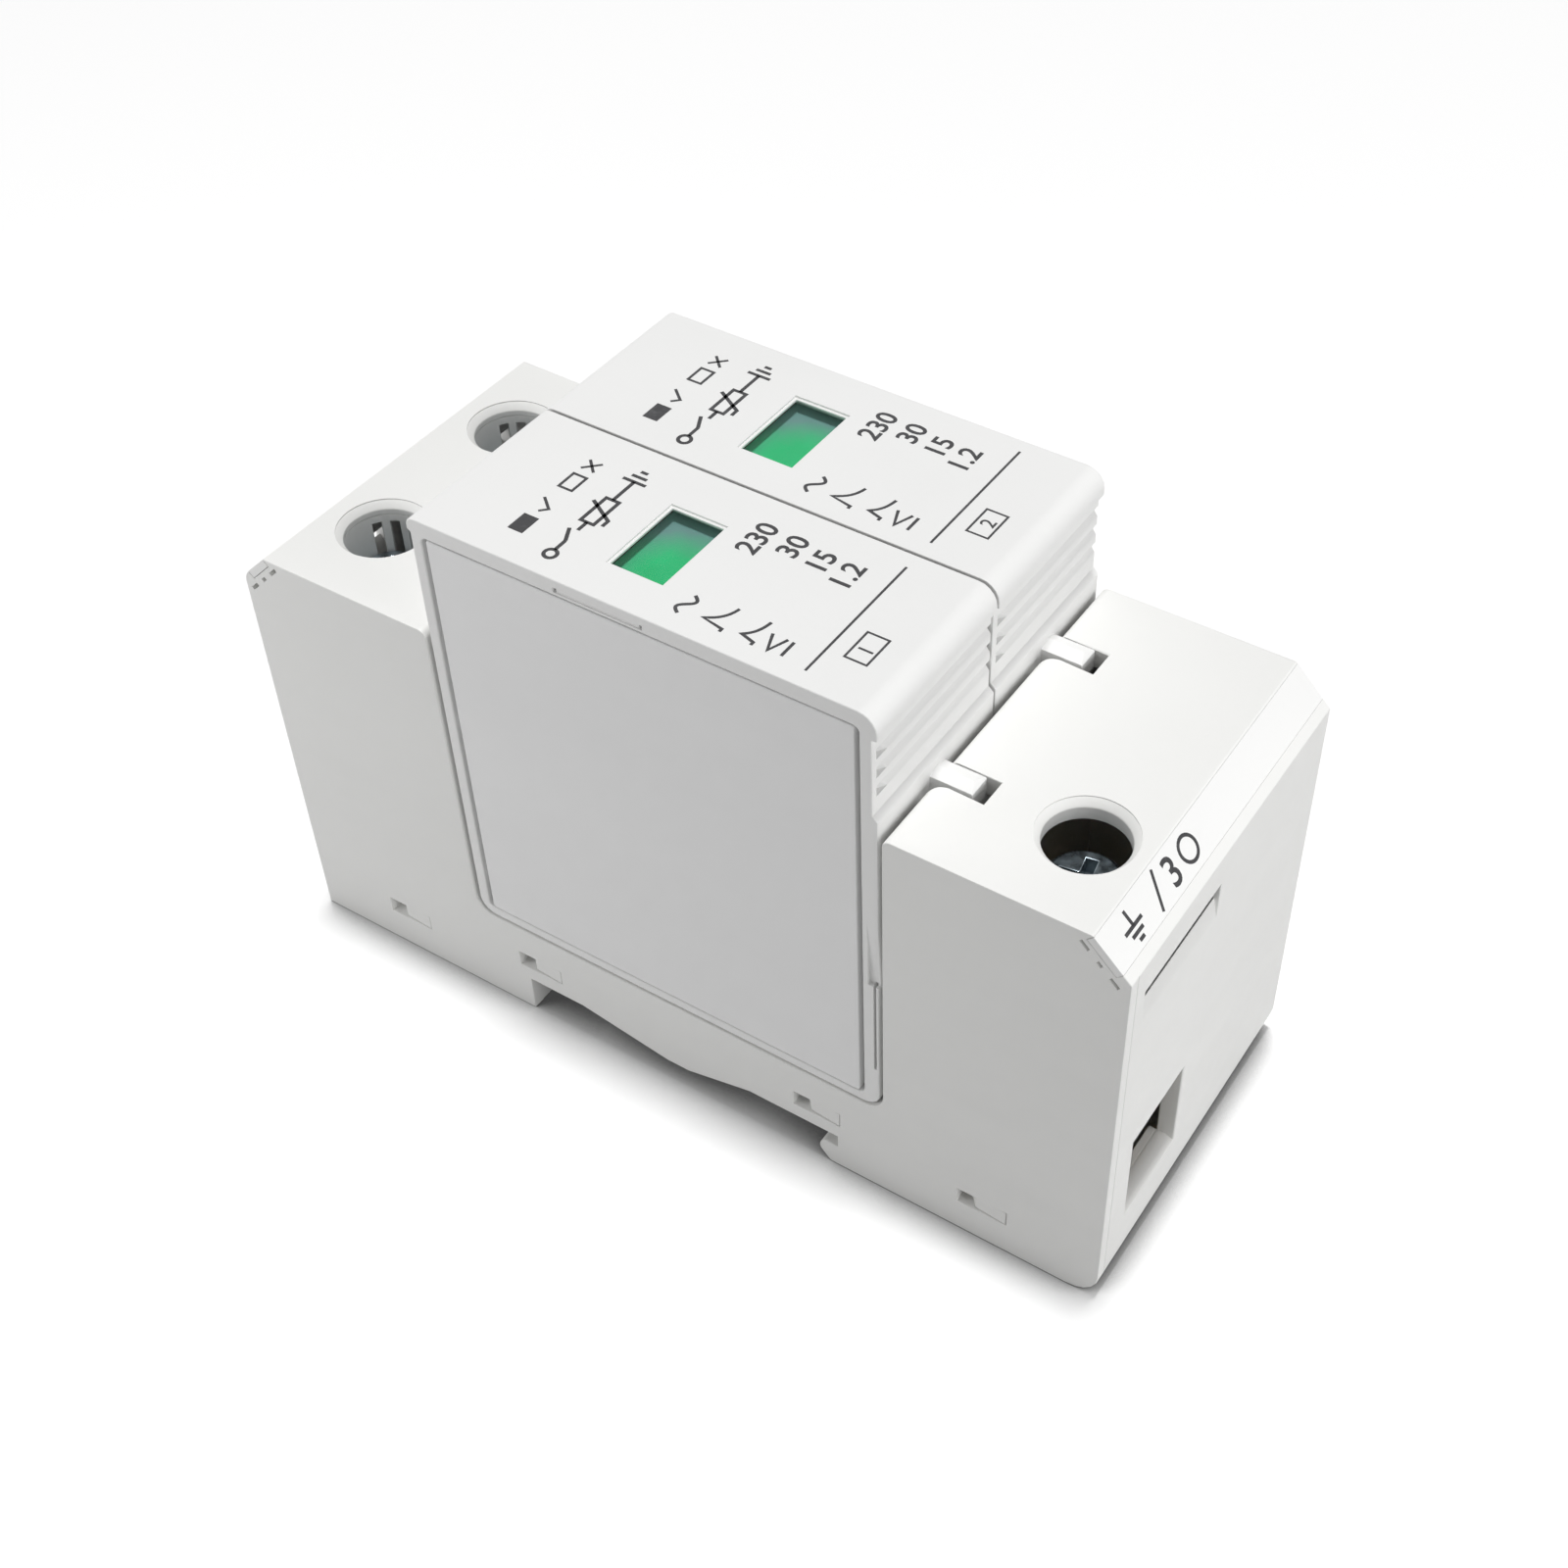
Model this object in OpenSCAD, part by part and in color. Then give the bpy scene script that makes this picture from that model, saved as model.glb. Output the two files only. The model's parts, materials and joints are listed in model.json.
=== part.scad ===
// Two-pole plug-in surge arrester for a 35 mm top-hat rail.
// X runs along the device from the line end to the earth end, Y across the poles, Z away from the rail.

/* [Base] */
// Width of one pole
module_w = 18; // [17:0.1:20]
// Length of the terminal block at the line end
left_block_l = 21.3; // [20:0.1:26]
// Length of the terminal block at the earth end
right_block_l = 22.1; // [21:0.1:27]
// Height of both terminal blocks
block_h = 46; // [42:0.5:52]
// Sloped edge at the top of the earth end
end_chamfer = 3.6; // [3:0.1:4.5]
// Sloped edge at the top of the line end
line_chamfer = 3; // [2.6:0.1:4]
// Height of the floor that the cartridges stand on
pocket_floor_z = 11.3; // [10.8:0.1:13]
// Inner corner radius of the pocket
pocket_r = 2; // [1:0.1:3]
// Corner radius of the foot at the earth end
foot_r = 3; // [1:0.1:4]
// End wall of the base
wall = 1.8; // [1.4:0.1:2.2]
// Top wall of the terminal blocks
top_wall = 2.1; // [1.8:0.1:2.6]
// Side cover on the near side
cover_t = 1.2; // [1:0.1:1.6]
// Wall on the far side
back_wall = 1.5; // [1.2:0.1:2]
// Insulating partition between the line terminals
partition_t = 1.2; // [0.8:0.1:1.6]

/* [Rail] */
// Width of the rail
rail_w = 35; // [32:0.5:38]
// Play between the rail and its recess
rail_play = 0.3; // [0.2:0.05:0.6]
// Height of the face that sits on the rail
rail_seat_z = 4.2; // [4:0.1:5]
// Pocket length beyond the rail recess at the line end
left_bay_l = 5.4; // [4.5:0.1:7]
// Pocket length beyond the rail recess at the earth end
right_bay_l = 4.9; // [4.5:0.1:7]
// How far the fixed hook reaches under the rail
hook_reach = 2.2; // [1.5:0.1:3]
// Height of the notch above the fixed hook
notch_h = 1.5; // [1.3:0.1:2]
// How far the belly of the recess hangs down into the rail
belly_drop = 1.7; // [0.5:0.1:2.5]
// Width of the sliding rail clip
clip_w = 14; // [10:0.5:16]
// How far the clip's nose reaches under the rail
clip_reach = 1.6; // [1:0.1:2.2]
// Travel of the clip when it is pulled
clip_travel = 3; // [2.4:0.1:3.2]

/* [Terminals] */
// Distance of the clamp screws from the end of the base
screw_inset = 8.9; // [8.5:0.1:10]
// Diameter of the screwdriver hole
access_d = 7.3; // [6:0.1:8]
// Width of the bevel around the screwdriver hole
access_rim = 0.6; // [0.3:0.1:1]
// Depth of the screw head below the top of the block
head_depth = 5; // [4:0.1:6]
// Height of the screw head
head_h = 3.6; // [3:0.1:4.2]
// Diameter of the screw shank
screw_d = 4.8; // [4:0.1:5]
// Width of the cable entry
entry_w = 9.3; // [8:0.1:10.5]
// Height of the cable entry
entry_h = 10.1; // [9:0.1:11]
// Height of the lower edge of the cable entry
entry_z = 7.8; // [7.2:0.1:9]
// Width of the busbar slot
bus_slot_w = 13.1; // [11:0.1:14]
// Height of the busbar slot
bus_slot_h = 3.9; // [3:0.1:5]
// Distance of the busbar slot from the top of the block
bus_slot_top = 7.1; // [6.5:0.1:8]
// Travel of the clamp cage
clamp_lift = 8; // [6:0.5:8]
// Length of the clamp cage along the cable
cage_l = 12; // [10:0.1:13]
// Sheet thickness of the clamp cage
cage_t = 1.2; // [1:0.1:1.5]
// Thickness of the contact strips
strip_t = 1.2; // [1:0.1:1.3]

/* [Cartridge] */
// Height of a cartridge
cartridge_h = 46.9; // [44:0.1:50]
// Wall of the cartridge cover
shell_wall = 1.6; // [1.4:0.1:2]
// Top wall of the cartridge cover
shell_top = 1.3; // [1.2:0.1:1.6]
// Thickness of the side lid
lid_t = 1.2; // [1:0.1:1.6]
// Groove around the side lid
lid_gap = 0.5; // [0.2:0.05:0.7]
// Radius of the rounded nose
nose_r = 1.8; // [1:0.1:2.2]
// Number of grip grooves
grip_grooves = 3; // [2:1:4]
// Spacing of the grip grooves
grip_pitch = 1.95; // [1.6:0.05:2.2]
// Length of the indicator window along the device
window_l = 5.1; // [4.5:0.1:6]
// Width of the indicator window across the device
window_w = 8.3; // [7:0.1:9]
// Distance of the window from the line end of the cartridge
window_inset = 17.2; // [15:0.1:19]
// Width of the step around the indicator window
window_rim = 0.25; // [0.2:0.05:0.5]
// Side length of the square varistor
varistor_s = 34; // [30:0.5:36]
// Thickness of the coated varistor
varistor_t = 8; // [6:0.1:8.5]
// Thickness of the plug blades
blade_t = 1; // [0.8:0.1:1.2]
// Width of the plug blades
blade_w = 8; // [6:0.1:8.5]
// Width of the key lug
lug_w = 2.3; // [2:0.1:3]
// Length of the key lug
lug_l = 3.9; // [3:0.1:4.2]

/* [Hidden] */

// Colours
plastic = "#f1f1ee";
lid_plastic = "#e6e6e6";
label_white = "#fbfbfa";
steel = "#a9adb0";
brass = "#c9a75a";
green = "#27a862";
red = "#c8372d";
coating = "#2f5d8a";
clear = "#dfe9e6";

// Small sizes that repeat
eps = 0.01;
over = 1;
smooth = 48;
arc_steps = 5;
slide_gap = 0.2;
seat_gap = 0.1;
thread_gap = 0.05;

// Places along X, measured from the line end
rail_x0 = left_block_l + left_bay_l;
rail_x1 = rail_x0 + rail_w + rail_play;
pocket_x0 = left_block_l;
pocket_x1 = rail_x1 + right_bay_l;
body_l = pocket_x1 + right_block_l;
tower_wall = 1.6;
left_tower_x1 = pocket_x0 - tower_wall;
right_tower_x0 = pocket_x1 + tower_wall;
line_screw_x = screw_inset;
earth_screw_x = body_l - screw_inset;

// Places along Y
body_w = 2 * module_w;
front_y = -body_w / 2;
back_y = body_w / 2;
pole_y = [-module_w / 2, module_w / 2];
inner_front_y = front_y + cover_t;
inner_back_y = back_y - back_wall;

// Heights in the base
floor_t = 1;
floor_z = rail_seat_z + floor_t;
foot_floor_z = wall;
pocket_floor_t = 1.5;
bay_top_z = pocket_floor_z - pocket_floor_t;
tower_top_z = block_h - top_wall;
chamfer_step = 0.6;
inner_chamfer = end_chamfer - chamfer_step;
end_r = 0.8;
line_r = 2;
inner_r = 0.8;
edge_r = 0.3;
hook_tip_z = rail_seat_z - notch_h;
hook_slope = 1.1;
hook_r = 0.9;
belly_r = 2;
// Ends of the belly and of its flat, as shares of the rail's width
belly_from = [0.18, 0.46];
belly_to = [0.53, 0.73];
rib_inset = 2.4;
rib_t = 1.4;

// Snap windows of the side cover
snap_w = 5;
snap_h = 1.8;
snap_low_z = 3.9;
snap_high_z = 5.9;
snap_post = 1.6;
snap_play = 0.05;
snap_open = 0.9;
snap_lead = 0.9;
snap_sink = [0.22, 0.04];
snap_off = [2.8, 1.5, -2.2, -2.9];
snap_places = [
    [line_screw_x + snap_off[0], snap_low_z],
    [rail_x0 + snap_off[1], snap_high_z],
    [rail_x1 + snap_off[2], snap_high_z],
    [earth_screw_x + snap_off[3], snap_low_z]
];

// Marking strips on the sloped edges
mark_t = 0.8;
mark_play = 0.03;
// Bare parts of the slope below and above a strip, as shares of the slope
mark_share = [0.22, 0.035];
// Dash slots in the side cover below the strips
dash_l = [1.1, 0.6, 1.1];
dash_w = 0.35;
dash_drop = 1.6;
dash_depth = 0.6;
dash_pitch = 1.95;

// Rail clip
clip_flange_z = 1.5;
clip_drop = 0.5;
clip_top_z = rail_seat_z - clip_drop;
clip_step = 2;
clip_inset = clip_travel + slide_gap;
clip_ground = 0.3;
clip_nose_z = rail_seat_z - notch_h + slide_gap;
clip_nose_h = 0.6;
clip_slope = 1.4;
core_wall = 1.4;

// Terminal heights
head_top_z = block_h - head_depth;
head_under_z = head_top_z - head_h;
head_play = 0.3;
head_d = access_d - 2 * head_play;
rim_step = 0.12;
// Slotted finger guards below the screwdriver holes of the line terminals
guard_t = 0.45;
guard_d = access_d + 2 * guard_t;
guard_seat = 0.8;
guard_z = head_under_z + head_play;
guard_slot_w = 0.9;
guard_turns = [96:25:146];
bus_slot_z = block_h - bus_slot_top - bus_slot_h;
bus_slot_off = 0.35;
bus_ramp = 0.5;
bus_gate_h = 1.3;
cage_play = 0.4;
cage_in_w = entry_w + cage_play;
cage_w = cage_in_w + 2 * cage_t;
cage_z0 = entry_z - cage_t;
cage_top_t = 3.4;
cage_stop = 0.5;
cage_z1 = head_under_z - clamp_lift - cage_stop;
bar_clear = 0.3;
bar_z = entry_z + entry_h + bar_clear + strip_t / 2;
bar_top_z = bar_z + strip_t / 2;
tooth_h = 0.4;
tooth_pitch = 2;
cross_l = 4.4;
cross_w = 1;
cross_depth = 1.6;
line_turn = 30;
earth_turn = 10;

// Contact forks below the pocket floor
fork_gap = 0.05;
fork_bottom_z = floor_z + seat_gap + strip_t / 2;
bay_clear = 0.3;
fork_top_z = bay_top_z - bay_clear;
run_z = fork_top_z - strip_t / 2;
fork_slot_x = 0.6;
fork_slot_y = 0.5;
leg_off = blade_t / 2 + fork_gap + strip_t / 2;
bar_drop_inset = 2.4;
line_drop_x = left_tower_x1 - bar_drop_inset;
earth_drop_x = right_tower_x0 + bar_drop_inset;
bar_end_gap = 1.1;
bar_start = wall + bar_end_gap;
link_rise = 2;
link_h = 6;

// Cartridge outline
cart_gap_l = 0.15;
cart_gap_r = 0.4;
cart_play = 0.3;
cart_x0 = pocket_x0 + cart_gap_l;
cart_x1 = pocket_x1 - cart_gap_r;
cart_z0 = pocket_floor_z + slide_gap;
cart_z1 = cart_z0 + cartridge_h;
cart_w = module_w - cart_play;
lip_over = 0.3;
lip_h = 1.5;
lip_r = 0.9;
face_x0 = cart_x0 + lip_over;
nose_h = 2.4;
grip_inset = 0.5;
grip_h = 8.1;
grip_cheek = 0.7;
groove_depth = 0.6;
groove_h = 1.1;
groove_lip = 0.15;
groove_notch = 1;
groove_notch_l = 1.5;
grip_lead = 2;
grip_step = 0.1;
grip_x = cart_x1 - grip_inset;
grip_z1 = cart_z1 - nose_h;
grip_z0 = grip_z1 - grip_h;
cover_r = 1.7;

// Lid opening of the cartridge
frame_left = 1.05;
frame_right = 1.6;
frame_top = 1.65;
frame_bottom = 1;
ledge = 0.6;
mouth_x0 = face_x0 + frame_left;
mouth_x1 = cart_x1 - frame_right;
mouth_z0 = cart_z0 + frame_bottom;
mouth_z1 = cart_z1 - frame_top;
cavity_x0 = face_x0 + shell_wall;
cavity_x1 = mouth_x1 - ledge;
cavity_z0 = mouth_z0 + ledge;
cavity_z1 = cart_z1 - shell_top;
mouth_r = 0.6;
lid_r = 0.25;
lid_end_gap = 0.12;
lid_rim_t = 1;
lid_rim_h = 1;
tab_w = 1.4;
tab_reach = 0.5;
tab_t = 0.6;
tab_top_x = [9.6, 22.4];
tab_bottom_x = 16;
tab_rise = [4.2, 23.6];
catch_rise = 16.2;
ramp_h = 8;
catch_depth = 0.4;
catch_slot_l = 11;
catch_slot_w = 0.25;
catch_slot_depth = 0.8;
catch_finger = 0.3;
bar_x = [14.6, 23.3];
bar_lift = 0.3;
bar_h = 0.5;
bar_depth = 0.12;
bar_pit = 0.3;

// Key lug and its slot
lug_rise = 0.5;
lug_h = 2.4;
lug_bevel = 0.5;
lug_ridge = 0.4;
slot_play = 0.25;
slot_l = 4.7;
slot_under = 0.3;
slot_depth = lug_h + slot_under;
slot_mouth_r = 1.8;

// Indicator
window_off = -0.5;
window_step = 0.2;
window_x0 = face_x0 + window_inset;
window_x1 = window_x0 + window_l;
lens_t = 0.6;
lens_sink = 0.4;
lens_ledge = 0.8;
lens_play = 0.1;
flag_t = 1;
flag_over = 0.8;
flag_tail = 3;
flag_margin = 1.7;
flag_lap = 0.95;
flag_off = 0.25;
flag_travel = window_l + flag_margin;
flag_w = window_w + 2 * flag_lap;
flag_z1 = cavity_z1 - slide_gap;
carrier_t = 1;
carrier_rail = 0.9;
carrier_z1 = flag_z1 - flag_t - slide_gap;
carrier_w = flag_w + 2 * slide_gap + 2 * carrier_rail;
arm_t = 1.2;
arm_w = 1.6;
arm_off = 3.5;
arm_l = 5;
arm_gap = 1;
arm_x = window_x1 + arm_gap;

// Electrical pieces of the cartridge
blade_inset = 0.4;
line_blade_x = cavity_x0 + blade_inset + blade_t / 2;
earth_blade_x = cavity_x1 - blade_inset - blade_t / 2;
blade_tip_z = fork_bottom_z + strip_t / 2 + bay_clear;
blade_slot_play = 0.1;
varistor_x = (line_blade_x + earth_blade_x) / 2;
varistor_rise = 2;
varistor_z0 = cavity_z0 + varistor_rise;
varistor_r = 3;
pad_t = 0.9;
pad_gap = 0.05;
pad_h = 8;
pad_rise = 11.9;
pad_z = varistor_z0 + pad_rise;
line_pad_x = varistor_x - varistor_s * 0.3;
earth_pad_x = varistor_x + varistor_s * 0.2;
leaf_t = 0.5;
leaf_w = 5;
leaf_tip_h = 1.8;
leaf_x0 = varistor_x - varistor_s * 0.4;
leaf_rise = 1;
leaf_z0 = pad_z + leaf_rise;

// Unit vector, turned vector and rounded corners of an outline
function unit(v) = v / norm(v);
function turned(v) = [-v[1], v[0]];
function flat(p) = [p[0], p[1]];
function short_turn(a) = a > 180 ? a - 360 : (a < -180 ? a + 360 : a);
function corner(p, q, s) =
    let (
        u = unit(flat(p) - flat(q)),
        v = unit(flat(s) - flat(q)),
        half = acos(u * v) / 2,
        c = flat(q) + unit(u + v) * q[2] / sin(half),
        from = flat(q) + u * q[2] / tan(half) - c,
        to = flat(q) + v * q[2] / tan(half) - c,
        start = atan2(from[1], from[0]),
        sweep = short_turn(atan2(to[1], to[0]) - start)
    )
    [
        for (i = [0:arc_steps])
            let (a = start + sweep * i / arc_steps)
            c + q[2] * [cos(a), sin(a)]
    ];
// Outline of points [x, z, radius], where a radius of 0 is a sharp corner
function outline(points) =
    let (n = len(points))
    [
        for (i = [0:n - 1])
            each points[i][2] == 0
                ? [flat(points[i])]
                : corner(points[(i + n - 1) % n], points[i], points[(i + 1) % n])
    ];
// Outline of a strip of sheet folded along a path, with mitred bends
function bend(path, i) =
    let (
        last = len(path) - 1,
        a = turned(unit(path[min(i, last - 1) + 1] - path[min(i, last - 1)])),
        b = turned(unit(path[max(i, 1)] - path[max(i, 1) - 1]))
    )
    (a + b) / (1 + a * b);
function folded(path, t) = concat(
    [for (i = [0:len(path) - 1]) path[i] + bend(path, i) * t / 2],
    [for (i = [len(path) - 1:-1:0]) path[i] - bend(path, i) * t / 2]
);
function mirrored(path) = [for (p = path) [body_l - p[0], p[1]]];

// Rectangular block between two corners, in device coordinates
module block(x, y, z) {
    translate([x[0], y[0], z[0]]) cube([x[1] - x[0], y[1] - y[0], z[1] - z[0]]);
}
// Outline in XZ drawn out along Y
module along_y(points, y) {
    translate([0, y[1], 0]) rotate([90, 0, 0]) linear_extrude(y[1] - y[0]) polygon(points);
}
// Outline in YZ drawn out along X
module along_x(points, x) {
    translate([x[0], 0, 0]) rotate([90, 0, 90]) linear_extrude(x[1] - x[0]) polygon(points);
}
// Puts the middle of the device on the origin
module centred() {
    translate([-body_l / 2, 0, 0]) children();
}
// Outer outline of the base with pocket, rail recess and fixed hook
function base_outline() = outline([
    [0, 0, 0],
    [0, block_h - line_chamfer, line_r],
    [line_chamfer, block_h, edge_r],
    [pocket_x0, block_h, inner_r],
    [pocket_x0, pocket_floor_z, pocket_r],
    [pocket_x1, pocket_floor_z, pocket_r],
    [pocket_x1, block_h, inner_r],
    [body_l - end_chamfer, block_h, edge_r],
    [body_l, block_h - end_chamfer, edge_r],
    [body_l, 0, foot_r],
    [rail_x1 - hook_reach * 0.4, 0, end_r],
    [rail_x1 - hook_reach, hook_tip_z - hook_slope, hook_r],
    [rail_x1 - hook_reach * 0.7, hook_tip_z, edge_r],
    [rail_x1, hook_tip_z, 0],
    [rail_x1, rail_seat_z, 0],
    [rail_x0 + rail_w * belly_to[1], rail_seat_z, 0],
    [rail_x0 + rail_w * belly_to[0], rail_seat_z - belly_drop, belly_r],
    [rail_x0 + rail_w * belly_from[1], rail_seat_z - belly_drop, belly_r],
    [rail_x0 + rail_w * belly_from[0], rail_seat_z, 0],
    [rail_x0, rail_seat_z, 0],
    [rail_x0, 0, 0]
]);
// Hollow of the two terminal blocks and of the bays below the pocket
module base_hollows() {
    y = [inner_front_y - eps, inner_back_y];
    bay_x0 = rail_x0 + rib_inset;
    bay_x1 = rail_x1 - rib_inset;
    along_y([
        [wall, floor_z], [wall, tower_top_z - inner_chamfer], [wall + inner_chamfer, tower_top_z],
        [left_tower_x1, tower_top_z], [left_tower_x1, bay_top_z], [bay_x0, bay_top_z], [bay_x0, floor_z]
    ], y);
    along_y([
        [bay_x1, floor_z], [bay_x1, bay_top_z], [right_tower_x0, bay_top_z], [right_tower_x0, tower_top_z],
        [body_l - wall - inner_chamfer, tower_top_z], [body_l - wall, tower_top_z - inner_chamfer],
        [body_l - wall, foot_floor_z + foot_r / 2], [body_l - wall - foot_r / 2, foot_floor_z],
        [rail_x1 + rib_t, foot_floor_z], [rail_x1 + rib_t, floor_z]
    ], y);
    block([bay_x0 + rib_t, bay_x1 - rib_t], y, [floor_z, bay_top_z]);
}
// Frame on the middle of a sloped edge, with X up the slope, drawn at the line end
module on_slope(chamfer) {
    translate([chamfer / 2, 0, block_h - chamfer / 2]) rotate([0, -45, 0]) children();
}
// Ends of a marking strip up the slope
function mark_span(chamfer) = chamfer * sqrt(2) * [mark_share[0] - 0.5, 0.5 - mark_share[1]];
// Recess for a marking strip
module mark_recess(chamfer) {
    span = mark_span(chamfer);
    on_slope(chamfer)
        block([span[0] - mark_play, span[1] + mark_play], [front_y - eps, back_y + eps], [-mark_t, over]);
}
// Row of dash slots below a marking strip
module dash_slots(chamfer) {
    on_slope(chamfer)
        for (i = [0:2])
            translate([(i - 1) * dash_pitch, 0, 0])
                block([-dash_l[i] / 2, dash_l[i] / 2], [front_y - eps, front_y + dash_depth],
                    [-dash_drop, dash_w - dash_drop]);
}
module at_earth_end() {
    translate([body_l, 0, 0]) mirror([1, 0, 0]) children();
}
// Cable entry and busbar slot with a lead-in ramp in an end wall, drawn at the line end
module end_openings(y) {
    funnel = 0.5;
    slot_y = y + bus_slot_off;
    slot = [slot_y - bus_slot_w / 2, slot_y + bus_slot_w / 2];
    block([-eps, wall + eps], [y - entry_w / 2, y + entry_w / 2], [entry_z, entry_z + entry_h]);
    along_y([
        [-eps, entry_z - funnel], [-eps, entry_z + eps], [wall / 2, entry_z + eps]
    ], [y - entry_w / 2, y + entry_w / 2]);
    slot_z1 = bus_slot_z + bus_slot_h;
    along_y([
        [-eps, bus_slot_z], [bus_ramp, slot_z1 - bus_gate_h], [wall + eps, slot_z1 - bus_gate_h],
        [wall + eps, slot_z1], [-eps, slot_z1]
    ], slot);
}
// Screwdriver hole with a stepped and bevelled rim
module access_hole(x, y) {
    rim_d = access_d + 2 * access_rim;
    translate([x, y, tower_top_z - over]) cylinder(d = access_d, h = top_wall + 2 * over, $fn = smooth);
    translate([x, y, block_h - rim_step - access_rim])
        cylinder(d1 = access_d, d2 = rim_d, h = access_rim, $fn = smooth);
    translate([x, y, block_h - rim_step - eps]) cylinder(d = rim_d, h = rim_step + over, $fn = smooth);
}
// Seat for a finger guard on the underside of the top wall
module guard_hole(y) {
    translate([line_screw_x, y, tower_top_z - over])
        cylinder(d = guard_d + 2 * mark_play, h = guard_seat + over, $fn = smooth);
}
// Slot in the earth block for the key lug of a cartridge
module lug_slot(y) {
    half = lug_w / 2 + slot_play;
    z0 = block_h + lug_rise - slot_depth;
    block([pocket_x1 - eps, pocket_x1 + slot_l], [y - half, y + half], [z0, block_h + over]);
    translate([pocket_x1, y - half, z0])
        linear_extrude(slot_depth + over)
            difference() {
                translate([-eps, -slot_mouth_r]) square([slot_mouth_r, slot_mouth_r + eps]);
                translate([slot_mouth_r, -slot_mouth_r]) circle(r = slot_mouth_r, $fn = smooth);
            }
}
// Channel for the rail clip, open to the rail and to the line end
module clip_channel() {
    half = clip_w / 2 + slide_gap;
    block([-eps, rail_x0 + eps], [-half, half], [clip_flange_z, clip_top_z + slide_gap]);
    block([-eps, rail_x0 + eps], [clip_step - half, half - clip_step], [-eps, clip_flange_z + eps]);
}
// Hollows on the underside of the foot at the line end, beside the clip
module foot_cores() {
    half = clip_w / 2 + slide_gap + core_wall;
    x = [wall, rail_x0 - core_wall];
    block(x, [inner_front_y + core_wall, -half], [-eps, clip_top_z]);
    block(x, [half, back_y - back_wall], [-eps, clip_top_z]);
}
// Wedge hook on a post, which snaps into a window of the side cover and rises to its near face
module snap_hook(x, z) {
    x0 = x - snap_w / 2 + snap_open;
    x1 = x + snap_w / 2 - snap_play;
    root = z < floor_z && x > rail_x1 ? foot_floor_z : min(z, floor_z) - floor_t / 2;
    block([x0, x1], [inner_front_y, inner_front_y + snap_post], [root, z + snap_h]);
    translate([0, 0, z + snap_play])
        linear_extrude(snap_h - 2 * snap_play)
            polygon([
                [x0, inner_front_y + eps], [x0 + snap_lead, front_y + snap_sink[0]],
                [x1, front_y + snap_sink[1]], [x1, inner_front_y + eps]
            ]);
}

module base_housing() {
    color(plastic) centred() {
        difference() {
            along_y(base_outline(), [inner_front_y, back_y]);
            base_hollows();
            mark_recess(line_chamfer);
            at_earth_end() mark_recess(end_chamfer);
            for (y = pole_y) {
                end_openings(y);
                access_hole(line_screw_x, y);
                guard_hole(y);
                lug_slot(y);
            }
            at_earth_end() end_openings(pole_y[0]);
            access_hole(earth_screw_x, pole_y[0]);
            for (x = [line_blade_x, earth_blade_x], y = pole_y)
                block([x - blade_t / 2 - fork_slot_x, x + blade_t / 2 + fork_slot_x],
                    [y - blade_w / 2 - fork_slot_y, y + blade_w / 2 + fork_slot_y],
                    [bay_top_z - eps, pocket_floor_z + eps]);
            clip_channel();
            foot_cores();
        }
        for (p = snap_places) snap_hook(p[0], p[1]);
    }
}
module side_cover() {
    color(plastic) centred()
        difference() {
            along_y(base_outline(), [front_y, inner_front_y]);
            mark_recess(line_chamfer);
            at_earth_end() mark_recess(end_chamfer);
            for (p = snap_places)
                block([p[0] - snap_w / 2, p[0] + snap_w / 2], [front_y - eps, inner_front_y + eps],
                    [p[1], p[1] + snap_h]);
            dash_slots(line_chamfer);
            at_earth_end() dash_slots(end_chamfer);
        }
}
module screw_guard_line(pole) {
    h = tower_top_z + guard_seat - mark_play - guard_z;
    color(plastic) centred()
        translate([line_screw_x, pole_y[pole], guard_z])
            difference() {
                cylinder(d = guard_d, h = h, $fn = smooth);
                translate([0, 0, -over]) cylinder(d = access_d, h = h + 2 * over, $fn = smooth);
                for (a = guard_turns)
                    rotate([0, 0, a])
                        translate([0, -guard_slot_w / 2, -over])
                            cube([guard_d, guard_slot_w, tower_top_z - guard_z + over]);
            }
}
module pole_partition() {
    color(plastic) centred()
        block([wall + seat_gap, left_tower_x1 - seat_gap], [-partition_t / 2, partition_t / 2],
            [floor_z, tower_top_z - inner_chamfer]);
}
module marking_strip(chamfer) {
    on_slope(chamfer) block(mark_span(chamfer), [front_y, back_y], [mark_play - mark_t, 0]);
}
module marking_strip_line() {
    color(label_white) centred() marking_strip(line_chamfer);
}
module marking_strip_earth() {
    color(label_white) centred() at_earth_end() marking_strip(end_chamfer);
}
module din_clip() {
    half = clip_w / 2;
    tip = rail_x0 + clip_reach;
    shoulder = rail_x0 - clip_drop;
    pry_l = 2;
    pry_w = 5;
    color(plastic) centred()
        difference() {
            union() {
                block([clip_inset, shoulder], [-half, half], [clip_flange_z + slide_gap, clip_top_z]);
                along_y([
                    [clip_inset, clip_ground], [clip_inset, clip_top_z], [shoulder - clip_drop, clip_top_z],
                    [shoulder, clip_nose_z], [tip, clip_nose_z], [tip, clip_nose_z - clip_nose_h],
                    [tip - clip_slope, clip_ground]
                ], [clip_step - half, half - clip_step]);
            }
            block([clip_inset + pry_l, clip_inset + 2 * pry_l], [-pry_w / 2, pry_w / 2],
                [-eps, clip_top_z + eps]);
        }
}
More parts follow.
